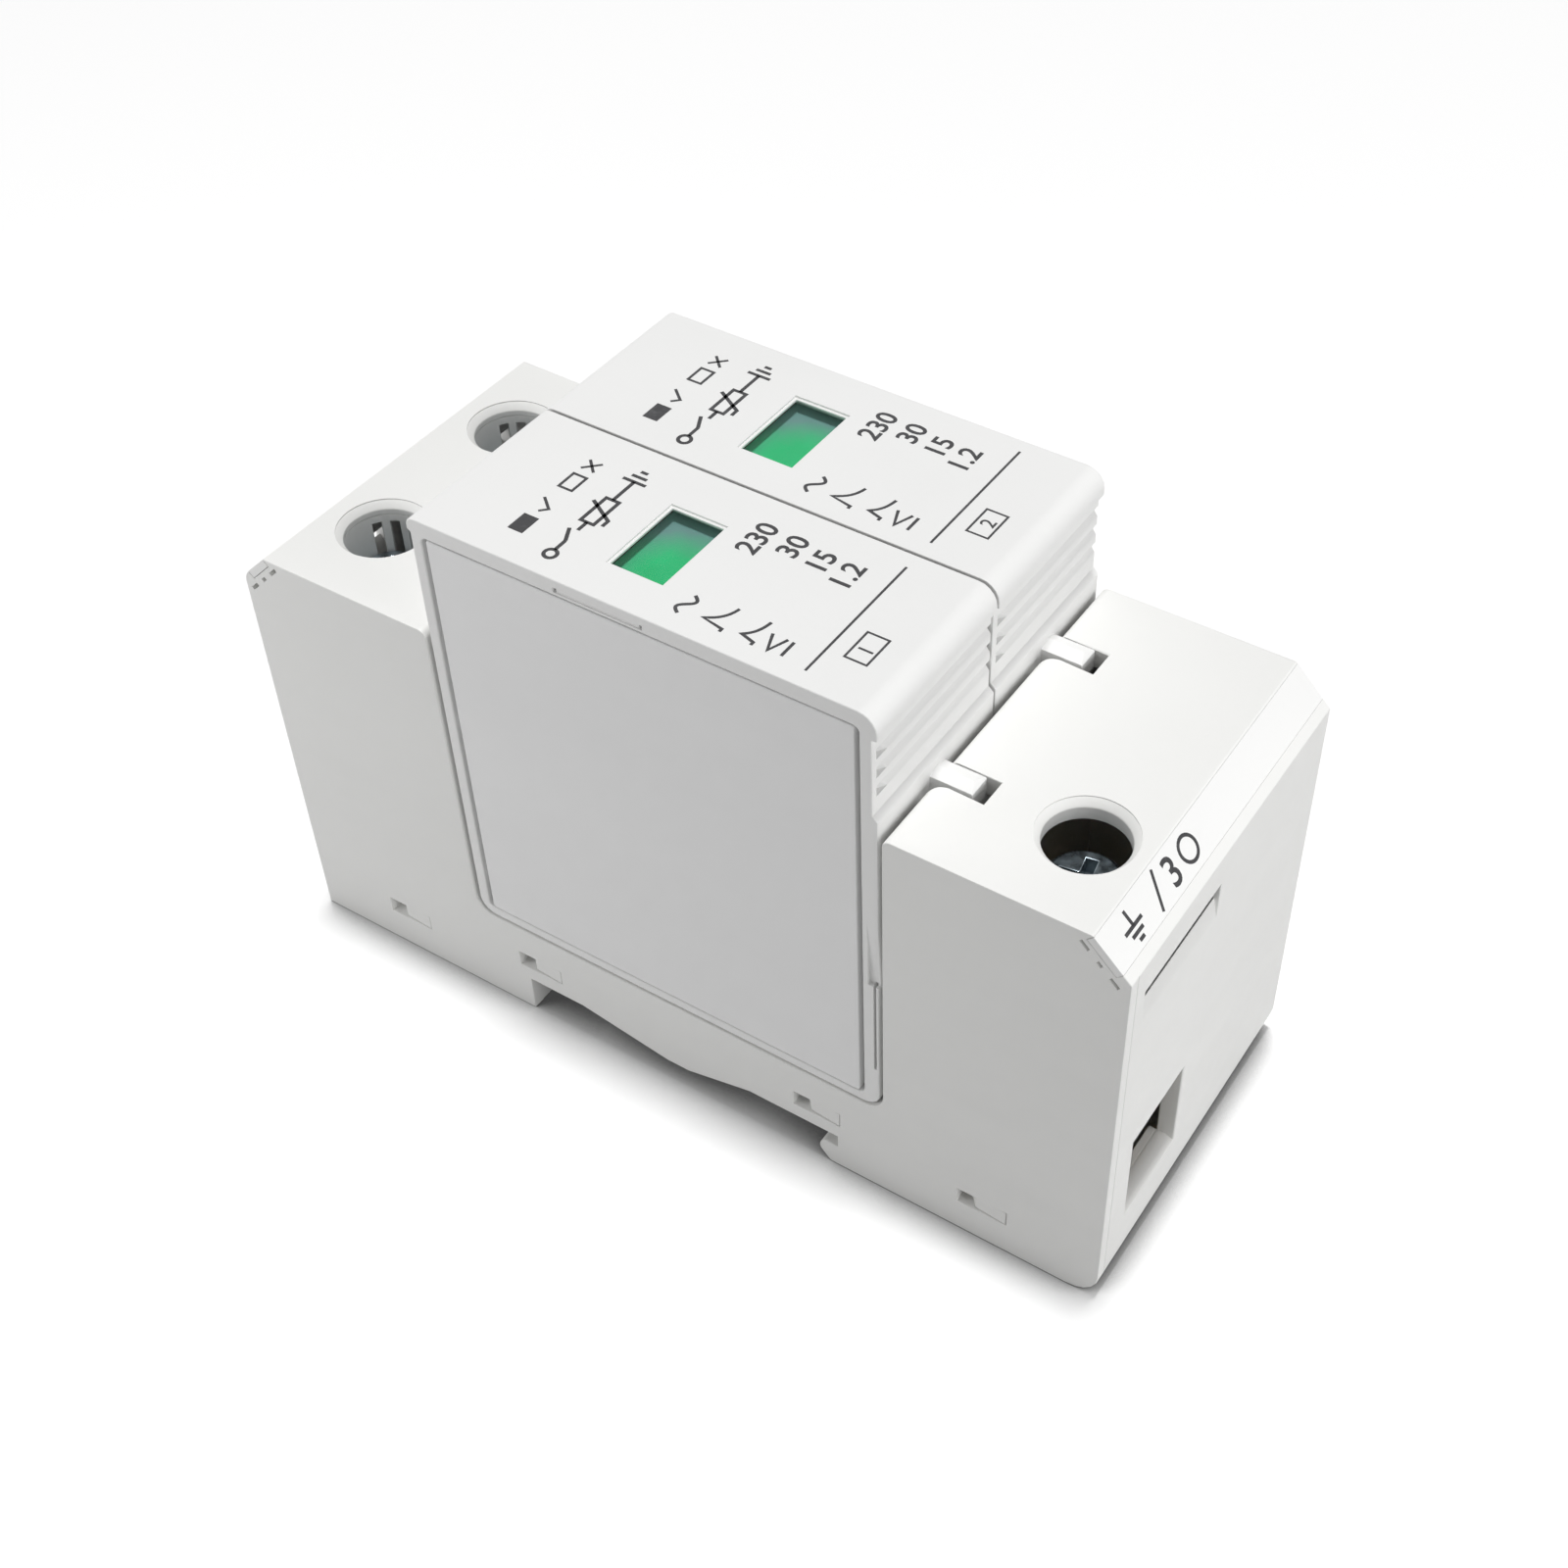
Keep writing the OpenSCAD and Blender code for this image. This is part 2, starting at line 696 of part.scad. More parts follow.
// Clamp bar that drops to the bay and ends in a fork, drawn at the line end
function contact_path(blade_x, drop_x, start_x) = [
    [start_x, bar_z],
    [drop_x, bar_z],
    [drop_x, run_z],
    [blade_x - leg_off, run_z],
    [blade_x - leg_off, fork_bottom_z],
    [blade_x + leg_off, fork_bottom_z],
    [blade_x + leg_off, fork_top_z]
];
module line_contact(pole) {
    y = pole_y[pole];
    color(brass) centred()
        along_y(folded(contact_path(line_blade_x, line_drop_x, bar_start), strip_t),
            [y - blade_w / 2, y + blade_w / 2]);
}
module earth_bar() {
    path = mirrored(contact_path(body_l - earth_blade_x, body_l - earth_drop_x, bar_start));
    color(brass) centred() {
        for (pole = [0, 1]) {
            y = pole_y[pole];
            along_y(folded([for (i = [(pole == 0 ? 0 : 1):len(path) - 1]) path[i]], strip_t),
                [y - blade_w / 2, y + blade_w / 2]);
        }
        block([earth_drop_x - strip_t / 2, earth_drop_x + strip_t / 2],
            [pole_y[0] - blade_w / 2, pole_y[1] + blade_w / 2],
            [run_z + link_rise, run_z + link_rise + link_h]);
    }
}
// Rising clamp: a folded loop with a threaded top and a toothed floor
module terminal_cage(x, y) {
    half = cage_w / 2;
    inner = cage_in_w / 2;
    color(steel) centred()
        difference() {
            block([x - cage_l / 2, x + cage_l / 2], [y - half, y + half], [cage_z0, cage_z1]);
            block([x - cage_l / 2 - eps, x + cage_l / 2 + eps], [y - inner, y + inner],
                [entry_z, cage_z1 - cage_top_t]);
            translate([x, y, cage_z1 - cage_top_t - over])
                cylinder(d = screw_d + 2 * thread_gap, h = cage_top_t + 2 * over, $fn = smooth);
            for (i = [-2:2])
                translate([i * tooth_pitch, 0, 0])
                    block([x - tooth_h, x + tooth_h], [y - inner, y + inner],
                        [entry_z - tooth_h, entry_z + eps]);
        }
}
// Clamp screw with a cross recess, whose tip bears on the clamp bar
module terminal_screw(x, y, turn) {
    edge = 0.4;
    color(steel) centred()
        translate([x, y, 0])
            difference() {
                union() {
                    translate([0, 0, bar_top_z + thread_gap])
                        cylinder(d = screw_d, h = head_under_z - bar_top_z, $fn = smooth);
                    translate([0, 0, head_under_z]) cylinder(d = head_d, h = head_h - edge, $fn = smooth);
                    translate([0, 0, head_top_z - edge])
                        cylinder(d1 = head_d, d2 = head_d - 2 * edge, h = edge, $fn = smooth);
                }
                for (a = [0, 90])
                    rotate([0, 0, turn + a])
                        translate([-cross_l / 2, -cross_w / 2, head_top_z - cross_depth])
                            cube([cross_l, cross_w, cross_depth + over]);
            }
}
// Side outline of a cartridge: lip at the line end, rounded nose and grip panel at the earth end
function cartridge_outline() = outline([
    [face_x0, cart_z0, cover_r],
    [face_x0, cart_z1 - lip_h, 0],
    [cart_x0, cart_z1 - lip_h + lip_over, 0],
    [cart_x0, cart_z1, lip_r],
    [cart_x1, cart_z1, nose_r],
    [cart_x1, grip_z1, 0],
    [grip_x, grip_z1 - grip_step, 0],
    [grip_x, grip_z0, 0],
    [cart_x1, grip_z0 - grip_inset, 0],
    [cart_x1, cart_z0, cover_r]
]);
// Sawtooth grooves of the grip, which start with a notch behind the near cheek and run out on the far side
module grip_cuts(y) {
    near = y[0] + grip_cheek;
    for (i = [0:grip_grooves - 1]) {
        z = grip_z1 - grip_lead - i * grip_pitch;
        along_y([
            [grip_x + eps, z + groove_h / 2],
            [grip_x - groove_depth, z + groove_h / 2 - groove_lip],
            [grip_x + eps, z - groove_h / 2]
        ], [near, y[1] + eps]);
        translate([0, 0, z - groove_h / 2])
            linear_extrude(groove_h - groove_lip)
                polygon([
                    [grip_x + eps, near], [grip_x - groove_notch, near], [grip_x + eps, near + groove_notch_l]
                ]);
    }
}
// Outline of the lid opening, or of the lid when it is drawn in by a gap
function mouth_outline(gap, end_gap, r) = outline([
    [mouth_x0 + gap, mouth_z0 + end_gap, r],
    [mouth_x0 + gap, mouth_z1 - end_gap, r],
    [mouth_x1 - gap, mouth_z1 - end_gap, r],
    [mouth_x1 - gap, mouth_z0 + end_gap, r]
]);
// Ramp, spring slot and marking bar on the frame around the lid
module frame_cuts(y0) {
    ramp_z = cart_z0 + catch_rise;
    slot_x = cart_x1 - catch_finger - catch_slot_w;
    bar = [face_x0 + bar_x[0], face_x0 + bar_x[1]];
    bar_top = mouth_z1 + bar_lift + bar_h;
    along_x([
        [y0 - eps, ramp_z], [y0 + catch_depth, ramp_z], [y0 - eps, ramp_z + ramp_h]
    ], [mouth_x1 + lid_gap, cart_x1 + eps]);
    block([slot_x, slot_x + catch_slot_w], [y0 - eps, y0 + catch_slot_depth],
        [ramp_z - catch_slot_l, ramp_z + catch_finger]);
    block(bar, [y0 - eps, y0 + bar_depth], [mouth_z1 + bar_lift, bar_top]);
    for (x = [bar[0], bar[1] - bar_pit])
        block([x, x + bar_pit], [y0 - eps, y0 + catch_slot_depth], [mouth_z1 + bar_lift, bar_top]);
}
// Snap tabs of the lid: [x, z] on its four edges and the size along X and Z
function lid_tabs(reach, w) = [
    [mouth_x0 + tab_top_x[0], mouth_z1, w, 2 * reach],
    [mouth_x0 + tab_top_x[1], mouth_z1, w, 2 * reach],
    [mouth_x0 + tab_bottom_x, mouth_z0, w, 2 * reach],
    [mouth_x0, mouth_z0 + tab_rise[0], 2 * reach, w],
    [mouth_x0, mouth_z0 + tab_rise[1], 2 * reach, w]
];
module lid_tab_blocks(reach, w, y) {
    for (t = lid_tabs(reach, w))
        block([t[0] - t[2] / 2, t[0] + t[2] / 2], y, [t[1] - t[3] / 2, t[1] + t[3] / 2]);
}
// Roof-shaped key lug at the earth end of a cartridge
module key_lug(y) {
    z1 = block_h + lug_rise;
    z0 = z1 - lug_h;
    tip = cart_x1 + lug_l;
    difference() {
        along_x([
            [y - lug_w / 2, z0], [y + lug_w / 2, z0], [y + lug_w / 2, z1 - lug_ridge],
            [y, z1], [y - lug_w / 2, z1 - lug_ridge]
        ], [cart_x1 - grip_inset - groove_depth, tip]);
        along_y([
            [tip - lug_bevel, z1 + eps], [tip + eps, z1 + eps], [tip + eps, z1 - lug_bevel]
        ], [y - lug_w, y + lug_w]);
    }
}
// Block around the indicator window, wider than its opening by a margin
module window_block(pole, margin, z) {
    y = pole_y[pole] + window_off;
    half = window_w / 2 + margin;
    block([window_x0 - margin, window_x1 + margin], [y - half, y + half], z);
}
module cartridge_cover(pole) {
    y = pole_y[pole];
    y0 = y - cart_w / 2;
    y1 = y + cart_w / 2;
    lid_back = y0 + lid_t + seat_gap;
    color(plastic) centred()
        difference() {
            union() {
                along_y(cartridge_outline(), [y0, y1]);
                key_lug(y);
            }
            along_y(mouth_outline(0, 0, mouth_r), [y0 - eps, lid_back]);
            grip_cuts([y0, y1]);
            frame_cuts(y0);
            block([cavity_x0, cavity_x1], [lid_back - eps, y1 - shell_wall], [cavity_z0, cavity_z1]);
            lid_tab_blocks(tab_reach + seat_gap, tab_w + 2 * seat_gap, [y0 + lid_t - tab_t, lid_back]);
            window_block(pole, 0, [cavity_z1 - eps, cart_z1 + eps]);
            window_block(pole, window_rim, [cart_z1 - window_step, cart_z1 + eps]);
            window_block(pole, lens_ledge, [cavity_z1 - eps, cart_z1 - lens_sink]);
            for (x = [line_blade_x, earth_blade_x])
                block([x - blade_t / 2 - blade_slot_play, x + blade_t / 2 + blade_slot_play],
                    [y - blade_w / 2 - blade_slot_play, y + blade_w / 2 + blade_slot_play],
                    [cart_z0 - eps, cavity_z0 + eps]);
        }
}
module cartridge_lid(pole) {
    y0 = pole_y[pole] - cart_w / 2;
    rim_x = [cavity_x0 + slide_gap, cavity_x1 - slide_gap];
    rim_z = [cavity_z0 + slide_gap, mouth_z1 - ledge];
    rim_y = [y0 + lid_t - eps, y0 + lid_t + lid_rim_h];
    color(lid_plastic) centred() {
        along_y(mouth_outline(lid_gap, lid_end_gap, lid_r), [y0, y0 + lid_t]);
        lid_tab_blocks(tab_reach, tab_w, [y0 + lid_t - tab_t + seat_gap, y0 + lid_t]);
        difference() {
            block(rim_x, rim_y, rim_z);
            block([rim_x[0] + lid_rim_t, rim_x[1] - lid_rim_t], [rim_y[0] - over, rim_y[1] + over],
                [rim_z[0] + lid_rim_t, rim_z[1] - lid_rim_t]);
        }
    }
}
module window_lens(pole) {
    color(clear, 0.4) centred()
        window_block(pole, lens_ledge - lens_play, [cart_z1 - lens_sink - lens_t, cart_z1 - lens_sink]);
}
// Channel under the window, red where the flag uncovers it
module indicator_carrier(pole) {
    y = pole_y[pole] + window_off;
    mid = y + flag_off;
    x = [window_x0 - flag_over - slide_gap - carrier_rail, window_x1 + flag_tail + flag_travel + slide_gap];
    inner = flag_w / 2 + slide_gap;
    color(red) centred()
        difference() {
            block(x, [mid - carrier_w / 2, mid + carrier_w / 2], [carrier_z1 - carrier_t, cavity_z1]);
            block([x[0] + carrier_rail, x[1] + eps], [mid - inner, mid + inner],
                [carrier_z1, cavity_z1 + eps]);
            block([arm_x - slide_gap, arm_x + arm_t + flag_travel + slide_gap],
                [y - arm_off - arm_w / 2 - slide_gap, y - arm_off + arm_w / 2 + slide_gap],
                [carrier_z1 - carrier_t - eps, carrier_z1 + eps]);
        }
}
module indicator_flag(pole) {
    y = pole_y[pole] + window_off;
    mid = y + flag_off;
    color(green) centred() {
        block([window_x0 - flag_over, window_x1 + flag_tail], [mid - flag_w / 2, mid + flag_w / 2],
            [flag_z1 - flag_t, flag_z1]);
        block([arm_x, arm_x + arm_t], [y - arm_off - arm_w / 2, y - arm_off + arm_w / 2],
            [flag_z1 - arm_l, flag_z1 - flag_t + eps]);
    }
}
module varistor(pole) {
    y = pole_y[pole];
    half = varistor_s / 2;
    z = varistor_z0;
    color(coating) centred()
        along_y(outline([
            [varistor_x - half, z, varistor_r], [varistor_x - half, z + varistor_s, varistor_r],
            [varistor_x + half, z + varistor_s, varistor_r], [varistor_x + half, z, varistor_r]
        ]), [y - varistor_t / 2, y + varistor_t / 2]);
}
// Blade that stands in the fork of the base, with a soldering pad on one face of the varistor
module blade(x, y, pad_x, pad_y) {
    block([x - blade_t / 2, x + blade_t / 2], [y - blade_w / 2, y + blade_w / 2],
        [blade_tip_z, pad_z + pad_h]);
    block([min(x - blade_t / 2, pad_x), max(x + blade_t / 2, pad_x)], pad_y, [pad_z, pad_z + pad_h]);
    block([x - blade_t / 2, x + blade_t / 2], [min(y, pad_y[0]), max(y, pad_y[1])], [pad_z, pad_z + pad_h]);
}
module line_blade(pole) {
    y = pole_y[pole];
    near = y - varistor_t / 2 - pad_gap - leaf_t - pad_gap;
    color(brass) centred() blade(line_blade_x, y, line_pad_x, [near - pad_t, near]);
}
module earth_blade(pole) {
    y = pole_y[pole];
    far = y + varistor_t / 2 + pad_gap;
    color(brass) centred() blade(earth_blade_x, y, earth_pad_x, [far, far + pad_t]);
}
// Spring leaf between the near face of the varistor and the line blade, with a finger behind the flag's arm
module disconnect_leaf(pole) {
    y = pole_y[pole];
    near = y - varistor_t / 2 - pad_gap;
    finger_x1 = arm_x - slide_gap;
    finger_z1 = flag_z1 - arm_l + leaf_tip_h;
    color(brass) centred() {
        along_y([
            [leaf_x0, leaf_z0], [leaf_x0, leaf_z0 + leaf_w],
            [finger_x1 - leaf_w, leaf_z0 + leaf_w], [finger_x1 - leaf_w, finger_z1],
            [finger_x1, finger_z1], [finger_x1, leaf_z0]
        ], [near - leaf_t, near]);
        block([finger_x1 - leaf_t, finger_x1], [near - eps, y + window_off - arm_off + arm_w / 2],
            [max(finger_z1 - leaf_tip_h, varistor_z0 + varistor_s + slide_gap), finger_z1]);
    }
}

base_housing();
side_cover();
pole_partition();
marking_strip_line();
marking_strip_earth();
screw_guard_line(0);  // screw_guard_line_1
screw_guard_line(1);  // screw_guard_line_2
din_clip();
line_contact(0);  // line_contact_1
line_contact(1);  // line_contact_2
earth_bar();
terminal_cage(line_screw_x, pole_y[0]);  // terminal_cage_line_1
terminal_cage(line_screw_x, pole_y[1]);  // terminal_cage_line_2
terminal_cage(earth_screw_x, pole_y[0]);  // terminal_cage_earth
terminal_screw(line_screw_x, pole_y[0], line_turn);  // terminal_screw_line_1
terminal_screw(line_screw_x, pole_y[1], line_turn);  // terminal_screw_line_2
terminal_screw(earth_screw_x, pole_y[0], earth_turn);  // terminal_screw_earth
cartridge_cover(0);  // cartridge_cover_1
cartridge_cover(1);  // cartridge_cover_2
cartridge_lid(0);  // cartridge_lid_1
cartridge_lid(1);  // cartridge_lid_2
window_lens(0);  // window_lens_1
window_lens(1);  // window_lens_2
indicator_carrier(0);  // indicator_carrier_1
indicator_carrier(1);  // indicator_carrier_2
indicator_flag(0);  // indicator_flag_1
indicator_flag(1);  // indicator_flag_2
varistor(0);  // varistor_1
varistor(1);  // varistor_2
disconnect_leaf(0);  // disconnect_leaf_1
disconnect_leaf(1);  // disconnect_leaf_2
line_blade(0);  // line_blade_1
line_blade(1);  // line_blade_2
earth_blade(0);  // earth_blade_1
earth_blade(1);  // earth_blade_2
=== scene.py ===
"""Looks of the two-pole plug-in surge arrester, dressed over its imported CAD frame."""
import json
import math

import bmesh
import bpy
from mathutils import Matrix, Vector


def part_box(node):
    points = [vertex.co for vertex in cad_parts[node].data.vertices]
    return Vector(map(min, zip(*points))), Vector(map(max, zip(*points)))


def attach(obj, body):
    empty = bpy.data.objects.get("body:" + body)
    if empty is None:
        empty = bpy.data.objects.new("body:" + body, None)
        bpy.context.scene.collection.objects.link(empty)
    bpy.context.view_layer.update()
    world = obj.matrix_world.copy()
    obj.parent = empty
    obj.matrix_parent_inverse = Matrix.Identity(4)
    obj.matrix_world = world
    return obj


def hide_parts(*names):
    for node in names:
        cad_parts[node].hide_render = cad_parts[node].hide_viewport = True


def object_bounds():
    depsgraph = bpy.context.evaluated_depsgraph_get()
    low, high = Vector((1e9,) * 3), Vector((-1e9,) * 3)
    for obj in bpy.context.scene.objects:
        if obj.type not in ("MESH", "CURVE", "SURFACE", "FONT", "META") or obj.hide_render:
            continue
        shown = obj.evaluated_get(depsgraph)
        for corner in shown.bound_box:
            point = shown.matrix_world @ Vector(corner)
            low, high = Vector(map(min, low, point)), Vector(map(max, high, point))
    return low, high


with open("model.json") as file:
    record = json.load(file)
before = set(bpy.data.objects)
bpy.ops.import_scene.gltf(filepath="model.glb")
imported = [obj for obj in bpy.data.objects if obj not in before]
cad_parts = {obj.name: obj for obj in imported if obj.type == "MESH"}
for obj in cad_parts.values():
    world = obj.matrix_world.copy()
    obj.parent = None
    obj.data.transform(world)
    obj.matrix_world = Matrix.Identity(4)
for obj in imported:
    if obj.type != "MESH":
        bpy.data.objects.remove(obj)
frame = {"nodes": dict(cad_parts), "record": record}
cad_low, cad_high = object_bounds()

MM = 0.001
MICRON = 1e-6
nodes = frame["nodes"]
record = frame["record"]
slot_of = {part["node"]: part["material_slot"] for part in record["subparts"]}
body_of = {node: body for body, members in record["behaviour"]["bodies"].items() for node in members}
POLES = ("1", "2")
ENDS = ("line", "earth")
TERMINALS = ("line_1", "line_2", "earth")


# Colours

def srgb(red, green, blue):
    """Linear colour of an 8-bit screen colour."""
    def linear(value):
        value /= 255
        return value / 12.92 if value <= 0.04045 else ((value + 0.055) / 1.055) ** 2.4
    return (linear(red), linear(green), linear(blue), 1.0)


def grey(value):
    """Linear grey."""
    return (value, value, value, 1.0)


# Materials

# Nearly all values of a noise lie in its band
NOISE_BAND = (0.3, 0.7)
WHOLE_RANGE = (0.0, 1.0)
# Sockets of a Mix node that mixes colours
MIX_COLOURS, MIX_RESULT = (6, 7), 2


class Finish:
    """One procedural material: a Principled shader with patterns on Object coordinates."""

    def __init__(self, name, **constants):
        self.material = bpy.data.materials.new(name)
        self.material.use_nodes = True
        self.tree = self.material.node_tree
        self.tree.nodes.clear()
        self.shader = self.add("ShaderNodeBsdfPrincipled")
        surface = self.add("ShaderNodeOutputMaterial")
        self.tree.links.new(self.shader.outputs["BSDF"], surface.inputs["Surface"])
        self.place = self.add("ShaderNodeTexCoord").outputs["Object"]
        for socket, value in constants.items():
            self.shader.inputs[socket.replace("_", " ")].default_value = value

    def add(self, kind):
        return self.tree.nodes.new(kind)

    def join(self, source, target):
        self.tree.links.new(source, target)

    def turned(self, scale, rotation=(0, 0, 0)):
        """Object coordinates, stretched and turned."""
        mapping = self.add("ShaderNodeMapping")
        mapping.inputs["Scale"].default_value = scale
        mapping.inputs["Rotation"].default_value = rotation
        self.join(self.place, mapping.inputs["Vector"])
        return mapping.outputs["Vector"]

    def noise(self, scale, detail=2, where=None):
        texture = self.add("ShaderNodeTexNoise")
        texture.inputs["Scale"].default_value = scale
        texture.inputs["Detail"].default_value = detail
        self.join(where or self.place, texture.inputs["Vector"])
        return texture.outputs["Fac"]

    def cells(self, scale):
        """Distance from the middle of the nearest of many small cells."""
        texture = self.add("ShaderNodeTexVoronoi")
        texture.inputs["Scale"].default_value = scale
        self.join(self.place, texture.inputs["Vector"])
        return texture.outputs["Distance"]

    def stretch(self, source, band, onto=WHOLE_RANGE):
        """Values of a band, carried over to another range."""
        node = self.add("ShaderNodeMapRange")
        for socket, value in zip(("From Min", "From Max", "To Min", "To Max"), (*band, *onto)):
            node.inputs[socket].default_value = value
        self.join(source, node.inputs["Value"])
        return node.outputs["Result"]

    def cloud(self, scale, detail=2, band=NOISE_BAND, onto=WHOLE_RANGE):
        """Noise, carried over from the band of its values to a range."""
        return self.stretch(self.noise(scale, detail), band, onto)

    def mixed(self, share, first, second):
        """Colour between two colours, each a value or another pattern."""
        node = self.add("ShaderNodeMix")
        node.data_type = "RGBA"
        self.join(share, node.inputs["Factor"])
        for socket, colour in zip(MIX_COLOURS, (first, second)):
            if isinstance(colour, tuple):
                node.inputs[socket].default_value = colour
            else:
                self.join(colour, node.inputs[socket])
        return node.outputs[MIX_RESULT]

    def reckoned(self, operation, first, second):
        """Result of one step of arithmetic, where the second value may be a plain number."""
        node = self.add("ShaderNodeMath")
        node.operation = operation
        self.join(first, node.inputs[0])
        if isinstance(second, float):
            node.inputs[1].default_value = second
        else:
            self.join(second, node.inputs[1])
        return node.outputs[0]

    def colour(self, source):
        self.join(source, self.shader.inputs["Base Color"])

    def roughness(self, source, low, high):
        self.join(self.stretch(source, NOISE_BAND, (low, high)), self.shader.inputs["Roughness"])

    def relief(self, height, depth, strength, over=None):
        """Bump of a real depth in metres, on top of another bump where one is given."""
        bump = self.add("ShaderNodeBump")
        bump.inputs["Strength"].default_value = strength
        bump.inputs["Distance"].default_value = depth
        self.join(height, bump.inputs["Height"])
        if over is not None:
            self.join(over, bump.inputs["Normal"])
        self.join(bump.outputs["Normal"], self.shader.inputs["Normal"])
        return bump.outputs["Normal"]


# Scale of the sheen's patches as a share of the grain's
SHEEN_SHARE = 0.35
FLOW_LINES = {"scale": (1.0, 1.0, 6.0), "rotation": (0.0, 0.25, 0.1)}


def moulded_plastic(name, pale, shade, rough, grain, depth):
    """Satin moulding: slow colour drift, faint flow lines and a spark-eroded grain."""
    finish = Finish(name, Specular_IOR_Level=0.42)
    drift = finish.cloud(scale=42, detail=3)
    lines = finish.noise(scale=30, where=finish.turned(**FLOW_LINES))
    flow = finish.stretch(lines, band=(0.35, 0.75))
    tone = finish.mixed(drift, pale, shade)
    finish.colour(finish.mixed(flow, tone, pale))
    finish.roughness(finish.noise(scale=grain * SHEEN_SHARE), low=rough - 0.06, high=rough + 0.08)
    slow = finish.relief(finish.noise(scale=120), depth=6 * MICRON, strength=0.5)
    finish.relief(finish.noise(scale=grain), depth, strength=0.6, over=slow)
    return finish.material


def plated_steel(name, pale, dull, metal, rough):
    """Plated steel: fine drawn lines, cloudy plating and duller patches."""
    finish = Finish(name, Metallic=metal)
    finish.colour(finish.mixed(finish.cloud(scale=420, detail=4), pale, dull))
    lines = finish.noise(scale=900, detail=3, where=finish.turned(scale=(1.0, 1.0, 0.08)))
    finish.roughness(lines, low=rough - 0.1, high=rough + 0.1)
    finish.relief(lines, depth=4 * MICRON, strength=0.6)
    return finish.material


def stamped_brass(name):
    """Rolled brass strip with light tarnish along the rolling direction."""
    finish = Finish(name, Metallic=1.0)
    tarnish = finish.cloud(scale=160, detail=4, band=(0.35, 0.75))
    finish.colour(finish.mixed(tarnish, srgb(222, 190, 120), srgb(176, 138, 78)))
    rolled = finish.noise(scale=700, detail=3, where=finish.turned(scale=(0.1, 1.0, 1.0)))
    finish.roughness(rolled, low=0.24, high=0.42)
    finish.relief(rolled, depth=4 * MICRON, strength=0.5)
    return finish.material


# Middle and reach of the painted pool of light in a window, with painted shade beyond it, which comes
# again at each pole
PAINTED_LIGHT_SPOT = {"x": -1.4 * MM, "y": 6.6 * MM, "half_x": 4.7 * MM, "half_y": 4.6 * MM, "pitch": 18 * MM}


def green_film_with_painted_light(name):
    """Green indicator film with fine flecks painted as glints, a painted pool of light around a spot and
    painted dull teal shade away from it.
    """
    finish = Finish(name, Specular_IOR_Level=0.2)
    reckoned = finish.reckoned
    # Painted glints: small bright flecks laid into the film's colour
    cells = finish.cells(scale=5200)
    bright = finish.stretch(cells, band=(0.22, 0.08))
    chance = finish.cloud(scale=3100, detail=1, band=(0.56, 0.64))
    painted_glint_flecks = reckoned("MULTIPLY", bright, chance)
    # Painted pool of light: distance from the middle of the lit spot in each pole's window
    axes = finish.add("ShaderNodeSeparateXYZ")
    finish.join(finish.place, axes.inputs[0])
    along = reckoned("DIVIDE", reckoned("ADD", axes.outputs["X"], -PAINTED_LIGHT_SPOT["x"]), PAINTED_LIGHT_SPOT["half_x"])
    in_pole = reckoned("FLOORED_MODULO", axes.outputs["Y"], PAINTED_LIGHT_SPOT["pitch"])
    across = reckoned("DIVIDE", reckoned("ADD", in_pole, -PAINTED_LIGHT_SPOT["y"]), PAINTED_LIGHT_SPOT["half_y"])
    reach = reckoned("ADD", reckoned("POWER", along, 2.0), reckoned("POWER", across, 2.0))
    painted_shade_reach = reckoned("ADD", reach, finish.cloud(scale=700, onto=(-0.08, 0.08)))
    film = finish.mixed(finish.cloud(scale=260, detail=3), srgb(44, 234, 148), srgb(36, 220, 136))
    # Painted glints: the flecks turn the film pale green
    film = finish.mixed(painted_glint_flecks, film, srgb(140, 240, 184))
    # Painted shade: away from the lit spot the film turns a dull teal
    finish.colour(finish.mixed(finish.stretch(painted_shade_reach, band=(0.3, 1.7)), film, srgb(134, 180, 176)))
    finish.roughness(finish.noise(scale=900), low=0.28, high=0.42)
    finish.relief(cells, depth=5 * MICRON, strength=0.5)
    return finish.material


def signal_red(name):
    """Red carrier, satin, with a faint moulded grain."""
    finish = Finish(name)
    drift = finish.cloud(scale=150, detail=3)
    finish.colour(finish.mixed(drift, srgb(196, 40, 32), srgb(176, 30, 26)))
    finish.roughness(finish.noise(scale=900), low=0.34, high=0.5)
    finish.relief(finish.noise(scale=2600), depth=8 * MICRON, strength=0.5)
    return finish.material


def clear_lens(name):
    """Thin clear window: mostly see-through, with a light polish."""
    finish = Finish(name, Alpha=0.12, Specular_IOR_Level=0.5)
    haze = finish.cloud(scale=180)
    finish.colour(finish.mixed(haze, srgb(88, 124, 110), srgb(72, 108, 96)))
    finish.roughness(finish.noise(scale=300), low=0.04, high=0.1)
    finish.relief(finish.noise(scale=140), depth=5 * MICRON, strength=0.4)
    return finish.material


def dipped_epoxy(name):
    """Dipped coating of the varistor, with an orange-peel skin."""
    finish = Finish(name, Coat_Weight=0.3, Coat_Roughness=0.15)
    pool = finish.cloud(scale=120, detail=3)
    finish.colour(finish.mixed(pool, srgb(40, 74, 122), srgb(28, 56, 98)))
    finish.roughness(finish.noise(scale=400), low=0.3, high=0.45)
    finish.relief(finish.noise(scale=520), depth=50 * MICRON, strength=0.6)
    return finish.material


def pad_ink(name):
    """Dark grey pad-printed ink, a little thin in places."""
    finish = Finish(name, Specular_IOR_Level=0.35)
    thin = finish.cloud(scale=1500, detail=3, band=(0.55, 0.85))
    finish.colour(finish.mixed(thin, srgb(56, 56, 58), srgb(84, 84, 86)))
    finish.roughness(finish.noise(scale=1200), low=0.45, high=0.62)
    finish.relief(finish.noise(scale=3000), depth=3 * MICRON, strength=0.5)
    return finish.material


